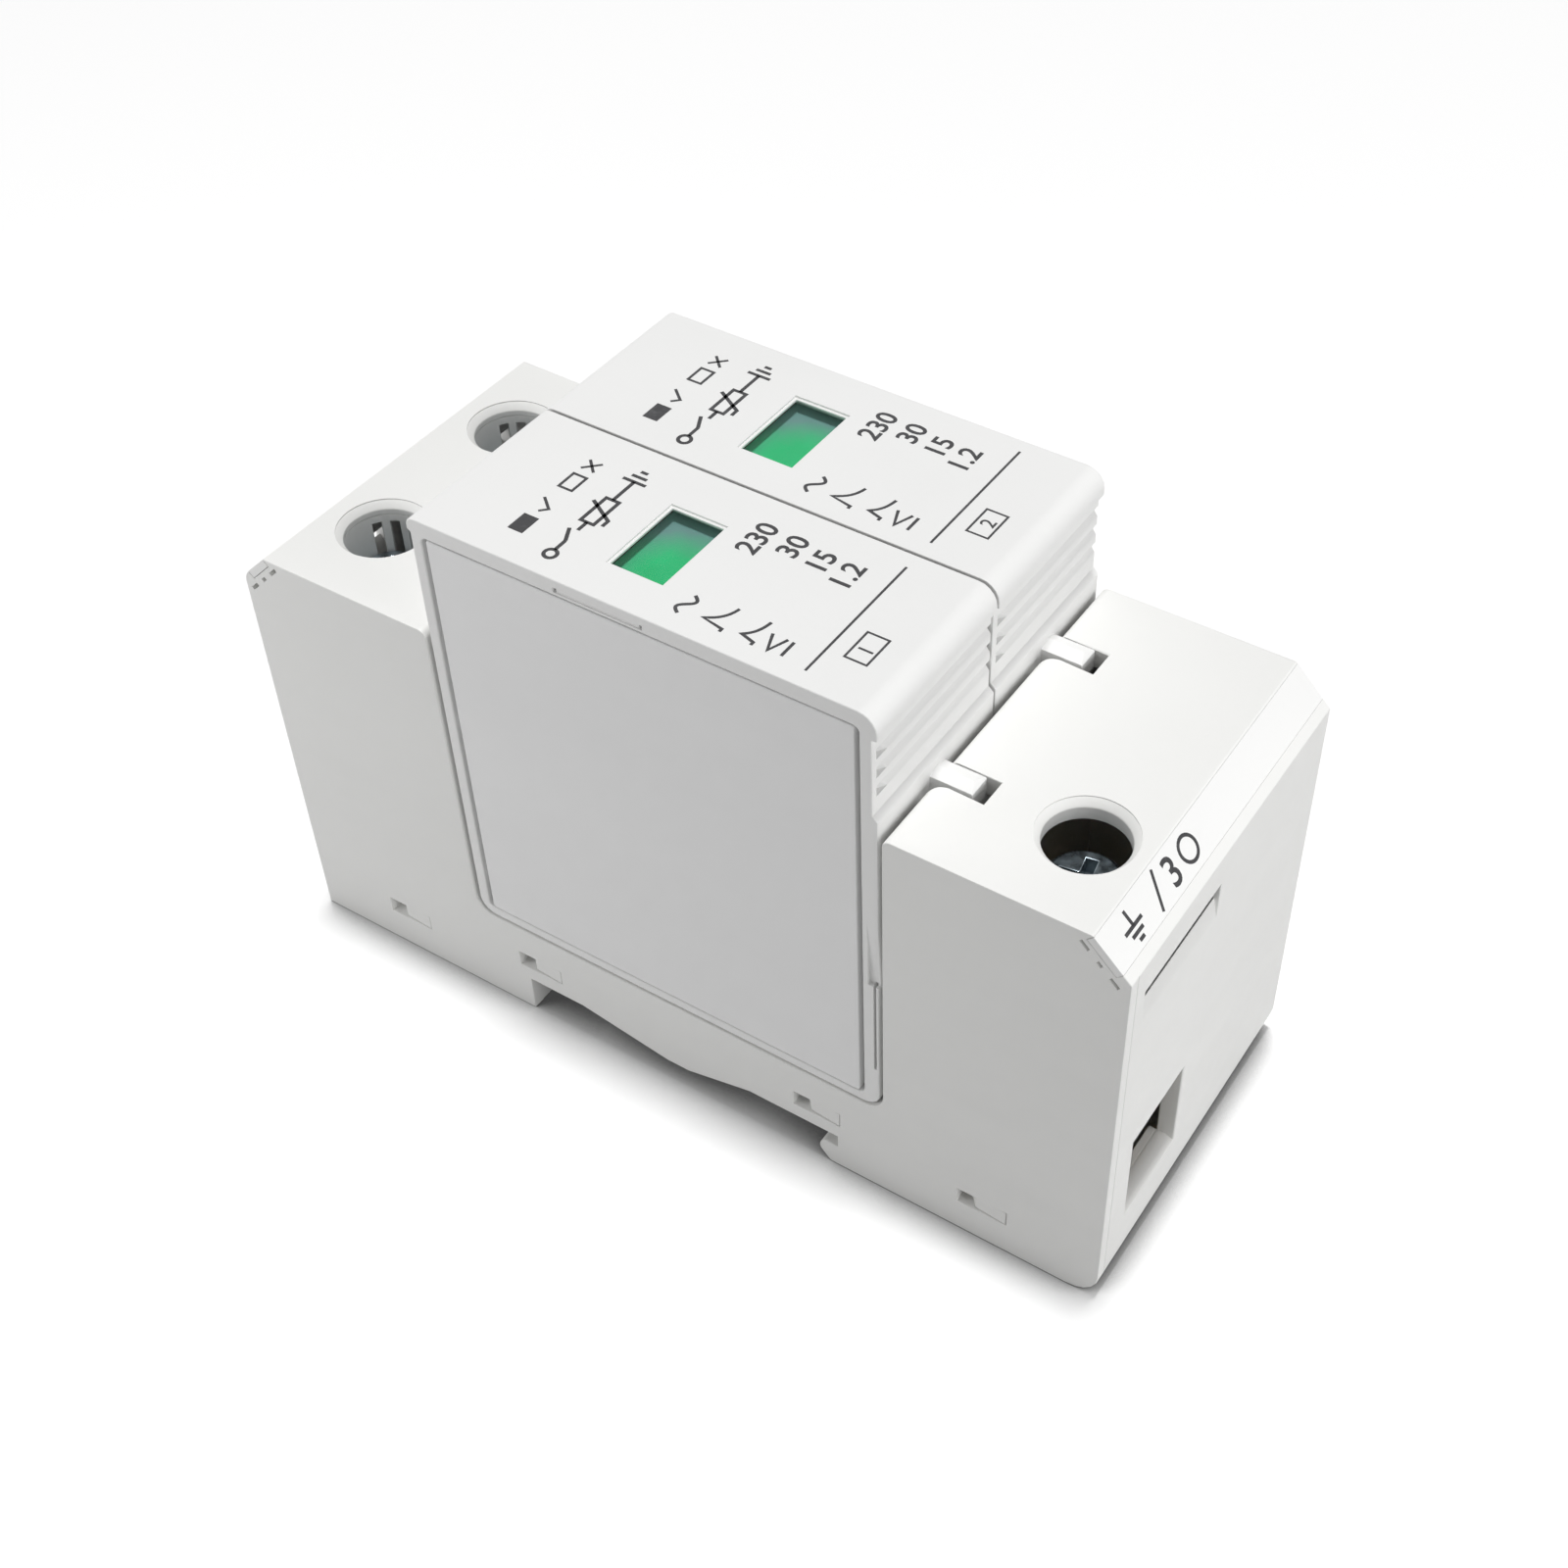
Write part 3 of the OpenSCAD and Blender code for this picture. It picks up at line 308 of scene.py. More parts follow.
finishes = {
    "housing": moulded_plastic(
        "moulded_housing", srgb(240, 240, 238), srgb(236, 236, 234),
        rough=0.46, grain=2400, depth=14 * MICRON),
    "cartridge": moulded_plastic(
        "moulded_cartridge", srgb(241, 241, 240), srgb(237, 237, 236),
        rough=0.42, grain=2600, depth=12 * MICRON),
    "cartridge_lid": moulded_plastic(
        "textured_lid", srgb(243, 243, 243), srgb(240, 240, 240),
        rough=0.52, grain=2000, depth=20 * MICRON),
    "marking_strip": moulded_plastic(
        "smooth_marking_strip", srgb(243, 243, 242), srgb(240, 240, 239),
        rough=0.34, grain=3200, depth=2 * MICRON),
    "terminal_steel": plated_steel(
        "zinc_plated_steel", srgb(158, 168, 174), srgb(116, 127, 134),
        metal=1.0, rough=0.3),
    "contact_brass": stamped_brass("stamped_brass"),
    "lens": clear_lens("clear_window"),
    "indicator_green": green_film_with_painted_light("green_film_painted_glints_and_shade"),
    "indicator_red": signal_red("red_carrier"),
    "varistor_coating": dipped_epoxy("dipped_epoxy"),
}
matt_plating = plated_steel(
    "matt_tin_plated_steel", srgb(222, 224, 222), srgb(204, 207, 206), metal=0.55, rough=0.55)
ink = pad_ink("grey_pad_ink")


# Meshes

NEAR = 0.02 * MM
WELD = 0.002 * MM
FLAT = math.radians(0.3)
SHARP = math.radians(33)
SHADED_SHARP = math.radians(38)
FLAT_FACE_WEIGHT = 100
# Largest radius on a narrow patch as a share of its width
NARROW_SHARE = 0.12


def new_piece(name, mesh, material):
    """Object at the origin, with its place in its mesh."""
    piece = bpy.data.objects.new(name, mesh)
    bpy.context.scene.collection.objects.link(piece)
    mesh.materials.clear()
    mesh.materials.append(material)
    return piece


def settle(piece):
    """Makes what the modifiers give the piece's own mesh."""
    graph = bpy.context.evaluated_depsgraph_get()
    mesh = bpy.data.meshes.new_from_object(piece.evaluated_get(graph))
    piece.modifiers.clear()
    piece.data = mesh
    return piece


def joined_mesh(node):
    """Edit mesh of a CAD node with its triangles merged and its flat areas whole."""
    shape = bmesh.new()
    shape.from_mesh(nodes[node].data)
    bmesh.ops.remove_doubles(shape, verts=shape.verts[:], dist=WELD)
    bmesh.ops.dissolve_limit(
        shape, angle_limit=FLAT, use_dissolve_boundaries=False,
        verts=shape.verts[:], edges=shape.edges[:], delimit=set())
    return shape


def plain_mesh(shape, name):
    """Mesh data of an edit mesh, without normals carried over from the file."""
    mesh = bpy.data.meshes.new(name)
    shape.to_mesh(mesh)
    shape.free()
    stored = mesh.attributes.get("custom_normal")
    if stored:
        mesh.attributes.remove(stored)
    return mesh


def smooth_edges(piece):
    """Smooth shading with flat faces kept flat."""
    piece.data.shade_smooth()
    piece.data.set_sharp_from_angle(angle=SHADED_SHARP)
    weigh = piece.modifiers.new("flat_faces", "WEIGHTED_NORMAL")
    weigh.keep_sharp = True
    weigh.weight = FLAT_FACE_WEIGHT
    return settle(piece)


def patch_widths(shape):
    """For each face, the width of the smooth patch it belongs to: twice the area over the rim."""
    widths = {}
    for start in shape.faces:
        if start in widths:
            continue
        patch, todo, rim = {start}, [start], 0.0
        while todo:
            for edge in todo.pop().edges:
                if len(edge.link_faces) == 2 and edge.calc_face_angle() < SHARP:
                    fresh = [face for face in edge.link_faces if face not in patch]
                    patch.update(fresh)
                    todo += fresh
                else:
                    rim += edge.calc_length()
        width = 2 * sum(face.calc_area() for face in patch) / max(rim, MICRON)
        widths.update(dict.fromkeys(patch, width))
    return widths


def eased(shape, name, material, radius, steps=2, share=None):
    """Piece from an edit mesh, with a small radius on its outer edges, finer where a patch is narrow."""
    weight = shape.edges.layers.float.new("bevel_weight_edge")
    widths = patch_widths(shape)
    for edge in shape.edges:
        if len(edge.link_faces) == 2 and edge.is_convex and edge.calc_face_angle() > SHARP:
            most = share(edge) if share else 1.0
            edge[weight] = min(most, NARROW_SHARE * min(widths[face] for face in edge.link_faces) / radius)
    piece = new_piece(name, plain_mesh(shape, name), material)
    bevel = piece.modifiers.new("edge_radius", "BEVEL")
    bevel.limit_method = "WEIGHT"
    bevel.width = radius
    bevel.segments = steps
    bevel.use_clamp_overlap = False
    return smooth_edges(settle(piece))


def stand_for(piece, node):
    """The piece takes the place and body of a CAD node, and the node is hidden."""
    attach(piece, body_of[node])
    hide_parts(node)
    return piece


def dress(node, radius, steps=2, share=None, finish=None):
    """Eased copy of a CAD node, in its slot's finish where no other is given."""
    material = finish or finishes[slot_of[node]]
    return stand_for(eased(joined_mesh(node), node + "_dressed", material, radius, steps, share), node)


def coat(node):
    """A CAD node that shows its own mesh, in its slot's finish."""
    data = nodes[node].data
    data.materials.clear()
    data.materials.append(finishes[slot_of[node]])


RADIUS = {
    "housing": 0.2 * MM, "sill": 0.08 * MM, "strip": 0.05 * MM, "guard": 0.08 * MM, "clip": 0.2 * MM,
    "contact": 0.1 * MM, "cage": 0.12 * MM, "screw": 0.12 * MM, "cover": 0.3 * MM, "lid": 0.15 * MM,
    "varistor": 0.8 * MM, "blade": 0.08 * MM, "carrier": 0.1 * MM, "partition": 0.1 * MM}
SHARE = {"seam_at_end": 0.6, "far_side": 0.6, "pole_joint": 0.3, "lug": 0.15}


# Base, strips, clip and metal

base_low, base_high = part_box("base_housing")
SEAM_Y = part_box("side_cover")[1].y
END_X = base_high.x - 0.05 * MM
STRIP_CORNER = {"x": 40.5 * MM, "z": 42.1 * MM}
LUG_MOUTH = {"x": (22.3 * MM, 24.3 * MM), "side_y": 17 * MM, "low_z": 43 * MM}
SLOPES = {
    end: max(vert.co.z + side * vert.co.x for vert in nodes["marking_strip_" + end].data.vertices)
    for end, side in zip(ENDS, (-1, 1))}


def on_slope(point):
    """Whether a point lies on one of the two slopes that carry the marking strips."""
    heights = (point.z - point.x - SLOPES["line"], point.z + point.x - SLOPES["earth"])
    return min(abs(height) for height in heights) < NEAR


def at_strip(point):
    """Whether a point lies beside the upper end of a marking strip."""
    return abs(point.x) > STRIP_CORNER["x"] and point.z > STRIP_CORNER["z"]


def at_lug_mouth(point):
    """Whether a point lies at the mouth of a slot for a cartridge's key lug."""
    low_x, high_x = LUG_MOUTH["x"]
    return low_x < point.x < high_x and abs(point.y) < LUG_MOUTH["side_y"] and point.z > LUG_MOUTH["low_z"]


def base_share(edge):
    """Largest share of the radius on an edge of the base, the side cover or a strip.

    It is none along most of the seam, beside the strips and at the lug slots' mouths, and less
    where the seam meets the end faces and on the far side.
    """
    ends = [vert.co for vert in edge.verts]
    if all(abs(end.y - SEAM_Y) < NEAR for end in ends):
        return SHARE["seam_at_end"] if all(abs(end.x) > END_X for end in ends) else 0.0
    if all(on_slope(end) for end in ends) and abs(ends[0].x - ends[1].x) < NEAR:
        return 0.0
    if all(abs(end.y - base_high.y) < NEAR for end in ends):
        return 0.0 if all(at_strip(end) for end in ends) else SHARE["far_side"]
    return 0.0 if all(at_lug_mouth(end) for end in ends) else 1.0


BUS_SLOT = {"floor_z": 37.6 * MM, "inner_x": 42.7 * MM, "lip_x": 44 * MM, "fall": 2.2 * MM}
LIP_SHIFT = {"down": 0.34 * MM, "out": 0.065 * MM}


def relieved_base():
    """Edit mesh of the base, with the floor of each busbar slot falling away behind its lip."""
    shape = joined_mesh("base_housing")
    for vert in shape.verts:
        if abs(vert.co.z - BUS_SLOT["floor_z"]) > NEAR:
            continue
        if abs(abs(vert.co.x) - BUS_SLOT["inner_x"]) < NEAR:
            vert.co.z -= BUS_SLOT["fall"]
        elif abs(abs(vert.co.x) - BUS_SLOT["lip_x"]) < NEAR:
            vert.co.z -= LIP_SHIFT["down"]
            vert.co.x += math.copysign(LIP_SHIFT["out"], vert.co.x)
    return shape


# Depths from the end face, and thicknesses at the wall and at the free edge
SILL = {
    "depth": (1.75 * MM, 2.5 * MM), "top": 7.8 * MM, "thick": (1.4 * MM, 0.8 * MM),
    "half_width": 4.65 * MM}


def entry_sill(terminal):
    """Ledge that carries the floor of a cable entry on towards its cage."""
    cage_low, cage_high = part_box("terminal_cage_" + terminal)
    start_y = (cage_low.y + cage_high.y) / 2 - SILL["half_width"]
    face_x = base_high.x if terminal == "earth" else base_low.x
    inwards = -math.copysign(1, face_x)
    near, far = SILL["depth"]
    at_wall, at_edge = SILL["thick"]
    profile = ((near, 0), (far, 0), (far, -at_edge), (near, -at_wall))
    corners = [(face_x + inwards * deep, start_y, SILL["top"] + rise) for deep, rise in profile]
    shape = bmesh.new()
    ring = [shape.verts.new(corner) for corner in corners]
    drawn = bmesh.ops.extrude_face_region(shape, geom=[shape.faces.new(ring)])
    moved = [item for item in drawn["geom"] if isinstance(item, bmesh.types.BMVert)]
    bmesh.ops.translate(shape, verts=moved, vec=(0, 2 * SILL["half_width"], 0))
    bmesh.ops.recalc_face_normals(shape, faces=shape.faces[:])
    sill = eased(shape, "entry_sill_" + terminal, finishes["housing"], RADIUS["sill"])
    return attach(sill, "base")


base = eased(
    relieved_base(), "base_housing_dressed", finishes["housing"], RADIUS["housing"], share=base_share)
stand_for(base, "base_housing")
for terminal in TERMINALS:
    entry_sill(terminal)
dress("side_cover", RADIUS["housing"], share=base_share)
for end in ENDS:
    dress("marking_strip_" + end, RADIUS["strip"], share=base_share)
for pole in POLES:
    dress("screw_guard_line_" + pole, RADIUS["guard"])
dress("din_clip", RADIUS["clip"])
for node in ("line_contact_1", "line_contact_2", "earth_bar"):
    dress(node, RADIUS["contact"])
for terminal in TERMINALS:
    dress("terminal_cage_" + terminal, RADIUS["cage"], finish=matt_plating)


# Cartridges

POLE_JOINT_Y = 0.2 * MM
LUG_X = 22.8 * MM


def joint_share(edge):
    """Smaller radius on the edges that face each other between the poles, and on the key lug."""
    ends = [vert.co for vert in edge.verts]
    if all(abs(end.y) < POLE_JOINT_Y for end in ends):
        return SHARE["pole_joint"]
    return SHARE["lug"] if any(end.x > LUG_X for end in ends) else 1.0


for pole in POLES:
    dress("cartridge_cover_" + pole, RADIUS["cover"], steps=3, share=joint_share)
    dress("cartridge_lid_" + pole, RADIUS["lid"])
    dress("varistor_" + pole, RADIUS["varistor"], steps=3)
    for node in ("line_blade_", "earth_blade_", "disconnect_leaf_"):
        dress(node + pole, RADIUS["blade"], steps=1)
    dress("indicator_carrier_" + pole, RADIUS["carrier"], steps=1)
    for node in ("window_lens_", "indicator_flag_"):
        coat(node + pole)
dress("pole_partition", RADIUS["partition"], steps=1)


# Clamp screws, with a rolled thread

# The thread starts above the tip by the point, and the plain length has none
SCREW = {
    "outer": 2.4 * MM, "root": 1.96 * MM, "pitch": 0.8 * MM, "tooth": 0.3 * MM,
    "under_head": 37.4 * MM, "point": 0.6 * MM, "plain": 2.2 * MM}
THREAD_STEPS, TOOTH_CORNERS = 22, 3


def thread_tree():
    """Geometry Nodes tree of a thread: a tooth drawn along a rising spiral."""
    tree = bpy.data.node_groups.new("clamp_screw_thread", "GeometryNodeTree")
    face = tree.interface
    face.new_socket("Geometry", in_out="INPUT", socket_type="NodeSocketGeometry")
    for label in ("Radius", "Pitch", "Turns", "Tooth"):
        face.new_socket(label, in_out="INPUT", socket_type="NodeSocketFloat")
    face.new_socket("Place", in_out="INPUT", socket_type="NodeSocketVector")
    face.new_socket("Finish", in_out="INPUT", socket_type="NodeSocketMaterial")
    face.new_socket("Geometry", in_out="OUTPUT", socket_type="NodeSocketGeometry")
    add, join = tree.nodes.new, tree.links.new
    given, made = add("NodeGroupInput"), add("NodeGroupOutput")
    rise = add("ShaderNodeMath")
    rise.operation = "MULTIPLY"
    join(given.outputs["Pitch"], rise.inputs[0])
    join(given.outputs["Turns"], rise.inputs[1])
    spiral = add("GeometryNodeCurveSpiral")
    spiral.inputs["Resolution"].default_value = THREAD_STEPS
    join(given.outputs["Turns"], spiral.inputs["Rotations"])
    join(given.outputs["Radius"], spiral.inputs["Start Radius"])
    join(given.outputs["Radius"], spiral.inputs["End Radius"])
    join(rise.outputs[0], spiral.inputs["Height"])
    upright = add("GeometryNodeSetCurveNormal")
    upright.mode = "Z_UP"
    join(spiral.outputs["Curve"], upright.inputs["Curve"])
    tooth = add("GeometryNodeCurvePrimitiveCircle")
    tooth.inputs["Resolution"].default_value = TOOTH_CORNERS
    join(given.outputs["Tooth"], tooth.inputs["Radius"])
    sweep = add("GeometryNodeCurveToMesh")
    sweep.inputs["Fill Caps"].default_value = True
    join(upright.outputs["Curve"], sweep.inputs["Curve"])
    join(tooth.outputs["Curve"], sweep.inputs["Profile Curve"])
    place = add("GeometryNodeTransform")
    join(sweep.outputs["Mesh"], place.inputs["Geometry"])
    join(given.outputs["Place"], place.inputs["Translation"])
    real = add("GeometryNodeRealizeInstances")
    join(place.outputs["Geometry"], real.inputs["Geometry"])
    coated = add("GeometryNodeSetMaterial")
    join(real.outputs["Geometry"], coated.inputs["Geometry"])
    join(given.outputs["Finish"], coated.inputs["Material"])
    join(coated.outputs["Geometry"], made.inputs["Geometry"])
    return tree


def grown(name, tree, material, **values):
    """Piece that a Geometry Nodes tree makes, as a plain mesh."""
    piece = new_piece(name, bpy.data.meshes.new(name), material)
    modifier = piece.modifiers.new(tree.name, "NODES")
    modifier.node_group = tree
    for item in tree.interface.items_tree:
        if item.in_out == "INPUT" and item.name in values:
            modifier[item.identifier] = values[item.name]
    return settle(piece)


def clamp_screw(terminal, tree):
    """Screw whose shank is turned down to the thread's root, with the thread on it."""
    node = "terminal_screw_" + terminal
    steel = finishes["terminal_steel"]
    low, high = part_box(node)
    axis = Vector(((low.x + high.x) / 2, (low.y + high.y) / 2, 0))
    shape = joined_mesh(node)
    for vert in shape.verts:
        off = Vector((vert.co.x - axis.x, vert.co.y - axis.y, 0))
        if vert.co.z < SCREW["under_head"] + NEAR and off.length < SCREW["outer"] + NEAR:
            vert.co -= off * (1 - SCREW["root"] / SCREW["outer"])
    stand_for(eased(shape, node + "_dressed", steel, RADIUS["screw"]), node)
    length = SCREW["under_head"] - low.z - SCREW["plain"]
    thread = grown(
        "thread_" + terminal, tree, steel,
        Radius=SCREW["outer"] - SCREW["tooth"], Pitch=SCREW["pitch"], Turns=length / SCREW["pitch"],
        Tooth=SCREW["tooth"], Place=(axis.x, axis.y, low.z + SCREW["point"]), Finish=steel)
    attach(thread, body_of[node])


screw_thread = thread_tree()
for terminal in TERMINALS:
    clamp_screw(terminal, screw_thread)


# Print: thin ink shapes on a plane with u to the right and v up, in millimetres

INK_LOW, INK_HIGH = -0.004 * MM, 0.012 * MM
INK_WELD = 1e-7
SHARPEST_MITRE = 0.35
RING_CORNERS = 24
# Height of a figure as a share of its type size
FIGURE_SHARE = 0.73
FIGURE = {"height": 2.0, "bold": 0.045}
PEN = {
    "legend": 0.26, "circuit": 0.34, "wave": 0.3, "row": 0.28, "rule": 0.22, "box": 0.2,
    "earth": 0.32, "slash": 0.3}
# Place of each line of print along the row, from the row's middle
LINE_X = {
    "legend_print": -13.6, "circuit_print": -9.1, "row_1_print": 3.6, "row_2_print": 6.6,
    "row_3_print": 9.5, "row_4_print": 12.2, "rule_print": 14.6, "pole_number_print": 18.2}


def stroke(path, width, closed=False):
    """Outline of a pen stroke along a path, with mitred corners, as flat quads."""
    points = [Vector(point) for point in path]
    count = len(points)

    def side(i):
        before = points[i] - points[i - 1] if closed or i > 0 else points[i + 1] - points[i]
        after = points[(i + 1) % count] - points[i] if closed or i < count - 1 else before
        left_before = Vector((-before.y, before.x)).normalized()
        left_after = Vector((-after.y, after.x)).normalized()
        opening = max(1 + left_before.dot(left_after), SHARPEST_MITRE)
        return (left_before + left_after) / opening * width / 2

    low = [point - side(i) for i, point in enumerate(points)]
    high = [point + side(i) for i, point in enumerate(points)]
    pairs = [(i, (i + 1) % count) for i in range(count if closed else count - 1)]
    return [[low[i], low[k], high[k], high[i]] for i, k in pairs]


def ring_sign(u, v, radius, pen):
    """Open circle."""
    turns = [2 * math.pi * i / RING_CORNERS for i in range(RING_CORNERS)]
    path = [(u + radius * math.cos(turn), v + radius * math.sin(turn)) for turn in turns]
    return stroke(path, pen, closed=True)


def box_outline(u0, v0, u1, v1):
    """Corners of an upright box between two opposite ones."""
    return [(u0, v0), (u1, v0), (u1, v1), (u0, v1)]


def figures(body, u, v, height=FIGURE["height"], bold=FIGURE["bold"]):
    """Faces of plain figures whose lower left corner is at u, v."""
    curve = bpy.data.curves.new("figures", "FONT")
    curve.body = body
    curve.size = height / FIGURE_SHARE
    curve.offset = bold
    curve.resolution_u = 4
    text = bpy.data.objects.new("figures", curve)
    bpy.context.scene.collection.objects.link(text)
    graph = bpy.context.evaluated_depsgraph_get()
    mesh = bpy.data.meshes.new_from_object(text.evaluated_get(graph))
    left = min(vert.co.x for vert in mesh.vertices)
    low = min(vert.co.y for vert in mesh.vertices)
    spots = [Vector((vert.co.x - left + u, vert.co.y - low + v)) for vert in mesh.vertices]
    faces = [[spots[i] for i in poly.vertices] for poly in mesh.polygons]
    bpy.data.objects.remove(text)
    bpy.data.curves.remove(curve)
    bpy.data.meshes.remove(mesh)
    return faces


def printed(name, faces, origin, right, up, body):
    """One ink piece from flat faces, given a thin closed body and put in its plane."""
    out = right.cross(up)
    shape = bmesh.new()
    for face in faces:
        shape.faces.new([shape.verts.new((point[0] * MM, point[1] * MM, 0)) for point in face])
    bmesh.ops.remove_doubles(shape, verts=shape.verts[:], dist=INK_WELD)
    for face in shape.faces:
        if face.normal.z < 0:
            face.normal_flip()
    lifted = bmesh.ops.extrude_face_region(shape, geom=shape.faces[:])
    for item in lifted["geom"]:
        if isinstance(item, bmesh.types.BMVert):
            item.co.z = INK_HIGH
    for vert in shape.verts:
        if vert.co.z == 0:
            vert.co.z = INK_LOW
    bmesh.ops.recalc_face_normals(shape, faces=shape.faces[:])
    place = Matrix((right, up, out)).transposed().to_4x4()
    place.translation = origin
    bmesh.ops.transform(shape, matrix=place, verts=shape.verts[:])
    piece = new_piece(name, plain_mesh(shape, name), ink)
    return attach(piece, body)


def earth_sign(u, v, size, pen):
    """Earth symbol: a stem on three shrinking bars."""
    faces = stroke([(u, v + size), (u, v + size * 0.45)], pen)
    for share, drop in ((0.5, 0.45), (0.32, 0.22), (0.14, 0.0)):
        faces += stroke([(u - size * share, v + size * drop), (u + size * share, v + size * drop)], pen)
    return faces


def wave_sign(u, v, length, height, pen):
    """One period of an alternating wave."""
    steps = 20
    swing = [height / 2 * math.sin(2 * math.pi * i / steps) for i in range(steps + 1)]
    return stroke([(u + length * i / steps, v + rise) for i, rise in enumerate(swing)], pen)


def pulse_sign(u, v, length, height, pen):
    """Impulse: a steep front and a long tail."""
    foot, peak, steps, decay = 0.12, 0.24, 10, 2.4
    path = [(u, v), (u + length * foot, v), (u + length * peak, v + height)]
    for i in range(1, steps + 1):
        done = i / steps
        path.append((u + length * (peak + (1 - peak) * done), v + height * math.exp(-decay * done)))
    return stroke(path, pen)


def limit_sign(pen):
    """At most: an arrowhead over a bar."""
    return stroke([(-5.0, 2.0), (-6.8, 1.3), (-5.0, 0.6)], pen) + stroke([(-6.8, 0.05), (-5.0, 0.05)], pen)


def circuit_sign(pen):
    """Terminal, disconnect, varistor and earth in a row."""
    faces = ring_sign(-6.4, 1.0, 0.55, pen)
    faces += stroke([(-5.85, 1.0), (-4.5, 1.0)], pen)
    faces += stroke([(-4.5, 1.0), (-3.0, 1.75)], pen)
    faces += stroke([(-2.9, 1.0), (-1.7, 1.0)], pen)
    faces += stroke(box_outline(-1.7, 0.35, 1.7, 1.65), pen, closed=True)
    faces += stroke([(-1.5, -0.35), (-0.7, -0.35), (0.9, 2.35)], pen)
    faces += stroke([(1.7, 1.0), (4.6, 1.0)], pen)
    for place, half in ((4.6, 1.15), (5.3, 0.75), (6.0, 0.35)):
        faces += stroke([(place, 1.0 - half), (place, 1.0 + half)], pen)
    return faces


def legend_sign(pen):
    """Filled field with a tick and empty field with a cross: the two states of the window."""
    faces = [[Vector(point) for point in box_outline(-5.6, 0.0, -3.4, 1.5)]]
    faces += stroke([(-2.6, 0.75), (-2.0, 0.15), (-0.9, 1.45)], pen)
    faces += stroke(box_outline(0.9, 0.08, 2.9, 1.42), pen, closed=True)
    faces += stroke([(3.8, 0.1), (5.1, 1.4)], pen)
    faces += stroke([(3.8, 1.4), (5.1, 0.1)], pen)
    return faces


def pole_sign(pole, pen):
    """Number of the pole in a box."""
    box = stroke(box_outline(-4.3, 0.0, -1.0, 2.0), pen, closed=True)
    return box + figures(pole, -3.0, 0.32, height=1.36, bold=0.015)


def cartridge_lines(pole):
    """Faces of each line of print on a cartridge's top, by the name of its piece."""
    return {
        "legend_print": legend_sign(PEN["legend"]),
        "circuit_print": circuit_sign(PEN["circuit"]),
        "row_1_print": wave_sign(-6.9, 1.0, 2.4, 1.1, PEN["wave"]) + figures("230", 1.9, 0.0),
        "row_2_print": pulse_sign(-7.0, 0.0, 3.0, 2.0, PEN["row"]) + figures("30", 3.3, 0.0),
        "row_3_print": pulse_sign(-7.0, 0.0, 3.0, 1.3, PEN["row"]) + figures("15", 3.3, 0.0),
        "row_4_print": limit_sign(PEN["row"]) + figures("1.2", 2.6, 0.0),
        "rule_print": stroke([(-7.2, 0.0), (7.2, 0.0)], PEN["rule"]),
        "pole_number_print": pole_sign(pole, PEN["box"]),
    }


ACROSS_ROW, TO_LINE_END = Vector((0, 1, 0)), Vector((-1, 0, 0))
UP_SLOPE, OUT_OF_SLOPE = Vector((-1, 0, 1)).normalized(), Vector((1, 0, 1)).normalized()


def print_cartridge(pole):
    """Lines of print on the top of a cartridge, read from the earth end."""
    low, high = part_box("cartridge_cover_" + pole)
    middle = (low.y + high.y) / 2
    for name, faces in cartridge_lines(pole).items():
        origin = Vector((LINE_X[name] * MM, middle, high.z))
        printed(f"{name}_{pole}", faces, origin, ACROSS_ROW, TO_LINE_END, "cartridge_" + pole)


def print_earth_strip():
    """Earth sign, slash, figure and ring on the sloped strip at the earth end."""
    low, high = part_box("marking_strip_earth")
    top = max(vert.co.dot(OUT_OF_SLOPE) for vert in nodes["marking_strip_earth"].data.vertices)
    middle = (low + high) / 2
    middle += OUT_OF_SLOPE * (top - middle.dot(OUT_OF_SLOPE))
    faces = earth_sign(-14.2, -1.3, 2.6, PEN["earth"])
    faces += stroke([(-10.9, -1.5), (-9.4, 1.5)], PEN["slash"])
    faces += figures("3", -8.4, -1.3, height=2.6, bold=0.04)
    faces += ring_sign(-4.9, 0.0, 1.1, PEN["earth"])
    printed("earth_print", faces, middle, ACROSS_ROW, UP_SLOPE, "base")


for pole in POLES:
    print_cartridge(pole)
print_earth_strip()


# Floor and world

FLOOR = {
    "half_size": 3.0, "squares": 8, "z": -0.05 * MM, "shaded": 0.02, "open": 0.98, "bounced": 0.45,
    "glow": 0.05}
# Painted contact shadow on the floor: reach, band and samples of the occlusion that darkens it
PAINTED_CONTACT_SHADOW = {"reach": 8 * MM, "open": (0.34, 0.66), "samples": 16}
WORLD_STRENGTH = 0.22


def light_path_share(tree):
    """1 for rays that show the background: camera, glossy and transmission rays."""
    path = tree.nodes.new("ShaderNodeLightPath")
    most = path.outputs["Is Camera Ray"]
    for label in ("Is Glossy Ray", "Is Transmission Ray"):
        larger = tree.nodes.new("ShaderNodeMath")
        larger.operation = "MAXIMUM"
        tree.links.new(most, larger.inputs[0])
        tree.links.new(path.outputs[label], larger.inputs[1])
        most = larger.outputs[0]
    return most


def painted_contact_shadow(tree):
    """Painted contact shadow: floor colour that darkens where the part stands close by."""
    add, join = tree.nodes.new, tree.links.new
    close = add("ShaderNodeAmbientOcclusion")
    close.inputs["Distance"].default_value = PAINTED_CONTACT_SHADOW["reach"]
    close.samples = PAINTED_CONTACT_SHADOW["samples"]
    deeper = add("ShaderNodeMapRange")
    deeper.inputs["From Min"].default_value, deeper.inputs["From Max"].default_value = PAINTED_CONTACT_SHADOW["open"]
    join(close.outputs["AO"], deeper.inputs["Value"])
    tone = add("ShaderNodeMix")
    tone.data_type = "RGBA"
    for socket, value in zip(MIX_COLOURS, (FLOOR["shaded"], FLOOR["open"])):
        tone.inputs[socket].default_value = grey(value)
    join(deeper.outputs["Result"], tone.inputs["Factor"])
    return tone.outputs[MIX_RESULT]


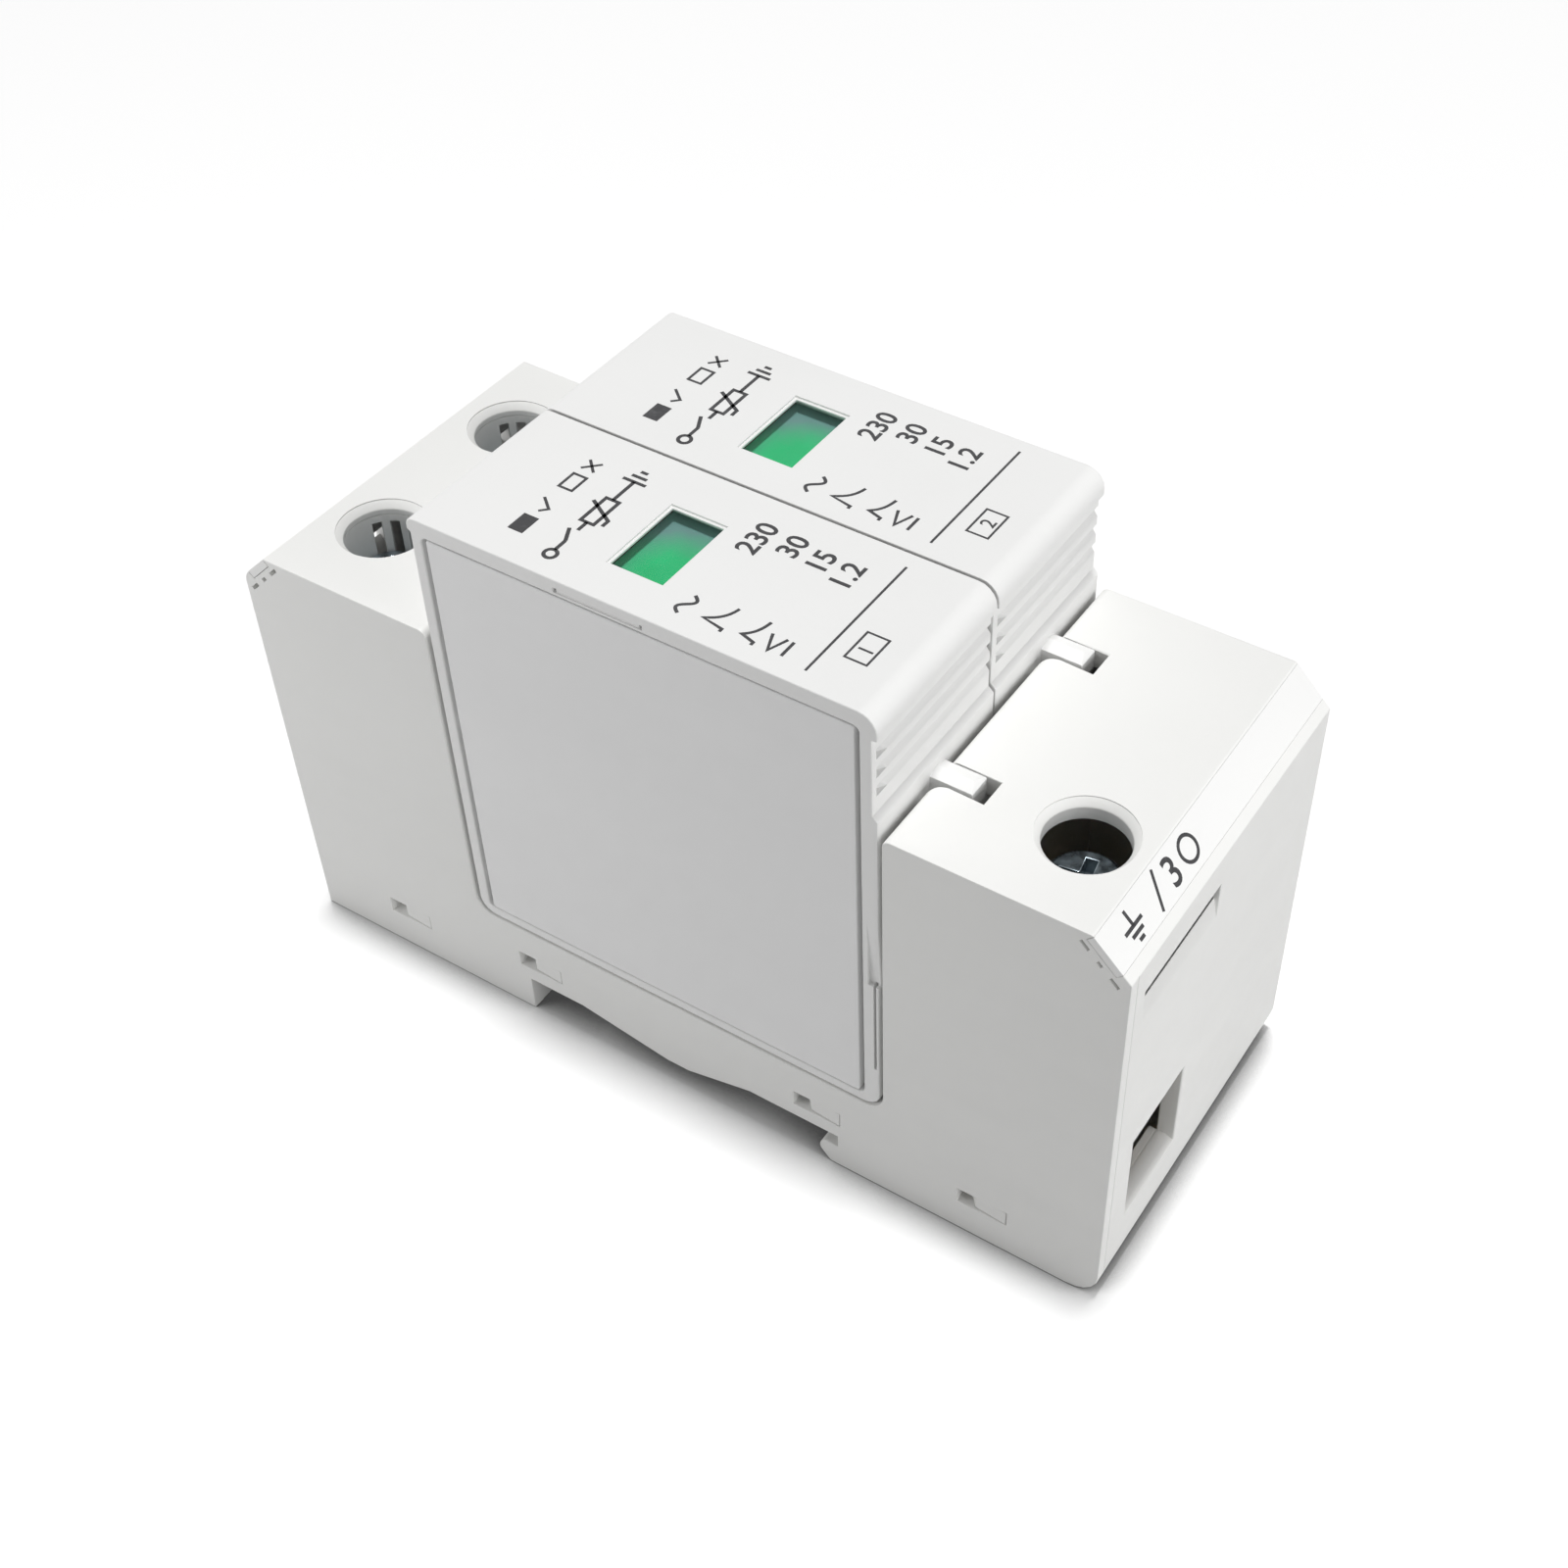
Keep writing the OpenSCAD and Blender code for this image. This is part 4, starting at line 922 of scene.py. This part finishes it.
def floor_material():
    """White where the camera sees it open, darkened by a painted contact shadow near the part, and a plain
    grey for the light that it throws back.
    """
    material = bpy.data.materials.new("pale_floor")
    material.use_nodes = True
    tree = material.node_tree
    tree.nodes.clear()
    add, join = tree.nodes.new, tree.links.new
    seen, bounced = add("ShaderNodeBsdfDiffuse"), add("ShaderNodeBsdfDiffuse")
    join(painted_contact_shadow(tree), seen.inputs["Color"])
    bounced.inputs["Color"].default_value = grey(FLOOR["bounced"])
    glow = add("ShaderNodeEmission")
    glow.inputs["Strength"].default_value = FLOOR["glow"]
    bright, choice = add("ShaderNodeAddShader"), add("ShaderNodeMixShader")
    surface = add("ShaderNodeOutputMaterial")
    join(seen.outputs[0], bright.inputs[0])
    join(glow.outputs[0], bright.inputs[1])
    join(light_path_share(tree), choice.inputs["Fac"])
    join(bounced.outputs[0], choice.inputs[1])
    join(bright.outputs[0], choice.inputs[2])
    join(choice.outputs[0], surface.inputs["Surface"])
    return material


def studio_floor():
    """Pale floor that shows white where neither a cast shadow nor the painted contact shadow lies on it.
    """
    shape = bmesh.new()
    squares = FLOOR["squares"]
    bmesh.ops.create_grid(shape, x_segments=squares, y_segments=squares, size=FLOOR["half_size"])
    for vert in shape.verts:
        vert.co.z = FLOOR["z"]
    new_piece("studio_floor", plain_mesh(shape, "studio_floor"), floor_material())


def studio_world(strength):
    """Even light all round, shown as plain white."""
    world = bpy.data.worlds.new("studio_world")
    bpy.context.scene.world = world
    world.use_nodes = True
    tree = world.node_tree
    tree.nodes.clear()
    add, join = tree.nodes.new, tree.links.new
    lit, shown = add("ShaderNodeBackground"), add("ShaderNodeBackground")
    for light, level in ((lit, strength), (shown, 1.0)):
        light.inputs["Color"].default_value = grey(1.0)
        light.inputs["Strength"].default_value = level
    choice, surface = add("ShaderNodeMixShader"), add("ShaderNodeOutputWorld")
    join(light_path_share(tree), choice.inputs["Fac"])
    join(lit.outputs[0], choice.inputs[1])
    join(shown.outputs[0], choice.inputs[2])
    join(choice.outputs[0], surface.inputs["Surface"])


def lamp(name, kind, offset, strength, **settings):
    """Lamp at an offset from the middle of the part, shining towards it."""
    data = bpy.data.lights.new(name, kind)
    data.energy = strength
    for key, value in settings.items():
        setattr(data, key, value)
    thing = bpy.data.objects.new(name, data)
    bpy.context.scene.collection.objects.link(thing)
    middle = (cad_low + cad_high) / 2
    thing.location = middle + Vector(offset)
    thing.rotation_mode = "QUATERNION"
    thing.rotation_quaternion = (-Vector(offset)).to_track_quat("-Z", "Y")
    thing.visible_camera = False


studio_floor()
studio_world(WORLD_STRENGTH)
lamp("overhead_key", "SUN", offset=(-0.01, 0.05, 1.0), strength=2.1, angle=math.radians(8))
lamp("front_left_fill", "AREA", offset=(-0.16, -0.15, 0.05), strength=0.12, size=0.1)
lamp("right_fill", "AREA", offset=(0.36, -0.03, 0.09), strength=0.5, size=0.2)


# Camera, from the fit to the photo's corners

def photo_camera():
    """Camera at the place and with the lens that the photo's corners give."""
    data = bpy.data.cameras.new("photo_camera")
    data.sensor_width = 36
    data.lens = 50.784
    data.shift_x = -0.1
    data.shift_y = -0.00625
    data.clip_start = 0.005
    data.clip_end = 20
    camera = bpy.data.objects.new("photo_camera", data)
    bpy.context.scene.collection.objects.link(camera)
    right = Vector((0.85518, 0.51810, 0.01533))
    up = Vector((-0.37294, 0.59450, 0.71238))
    back = Vector((0.35997, -0.61493, 0.70163))
    turn = Matrix((right, up, back)).transposed()
    camera.location = Vector((85.704, -117.264, 169.084)) * MM
    camera.rotation_mode = "QUATERNION"
    camera.rotation_quaternion = turn.to_quaternion()
    bpy.context.scene.camera = camera


photo_camera()
bpy.context.scene.view_settings.view_transform = "Standard"
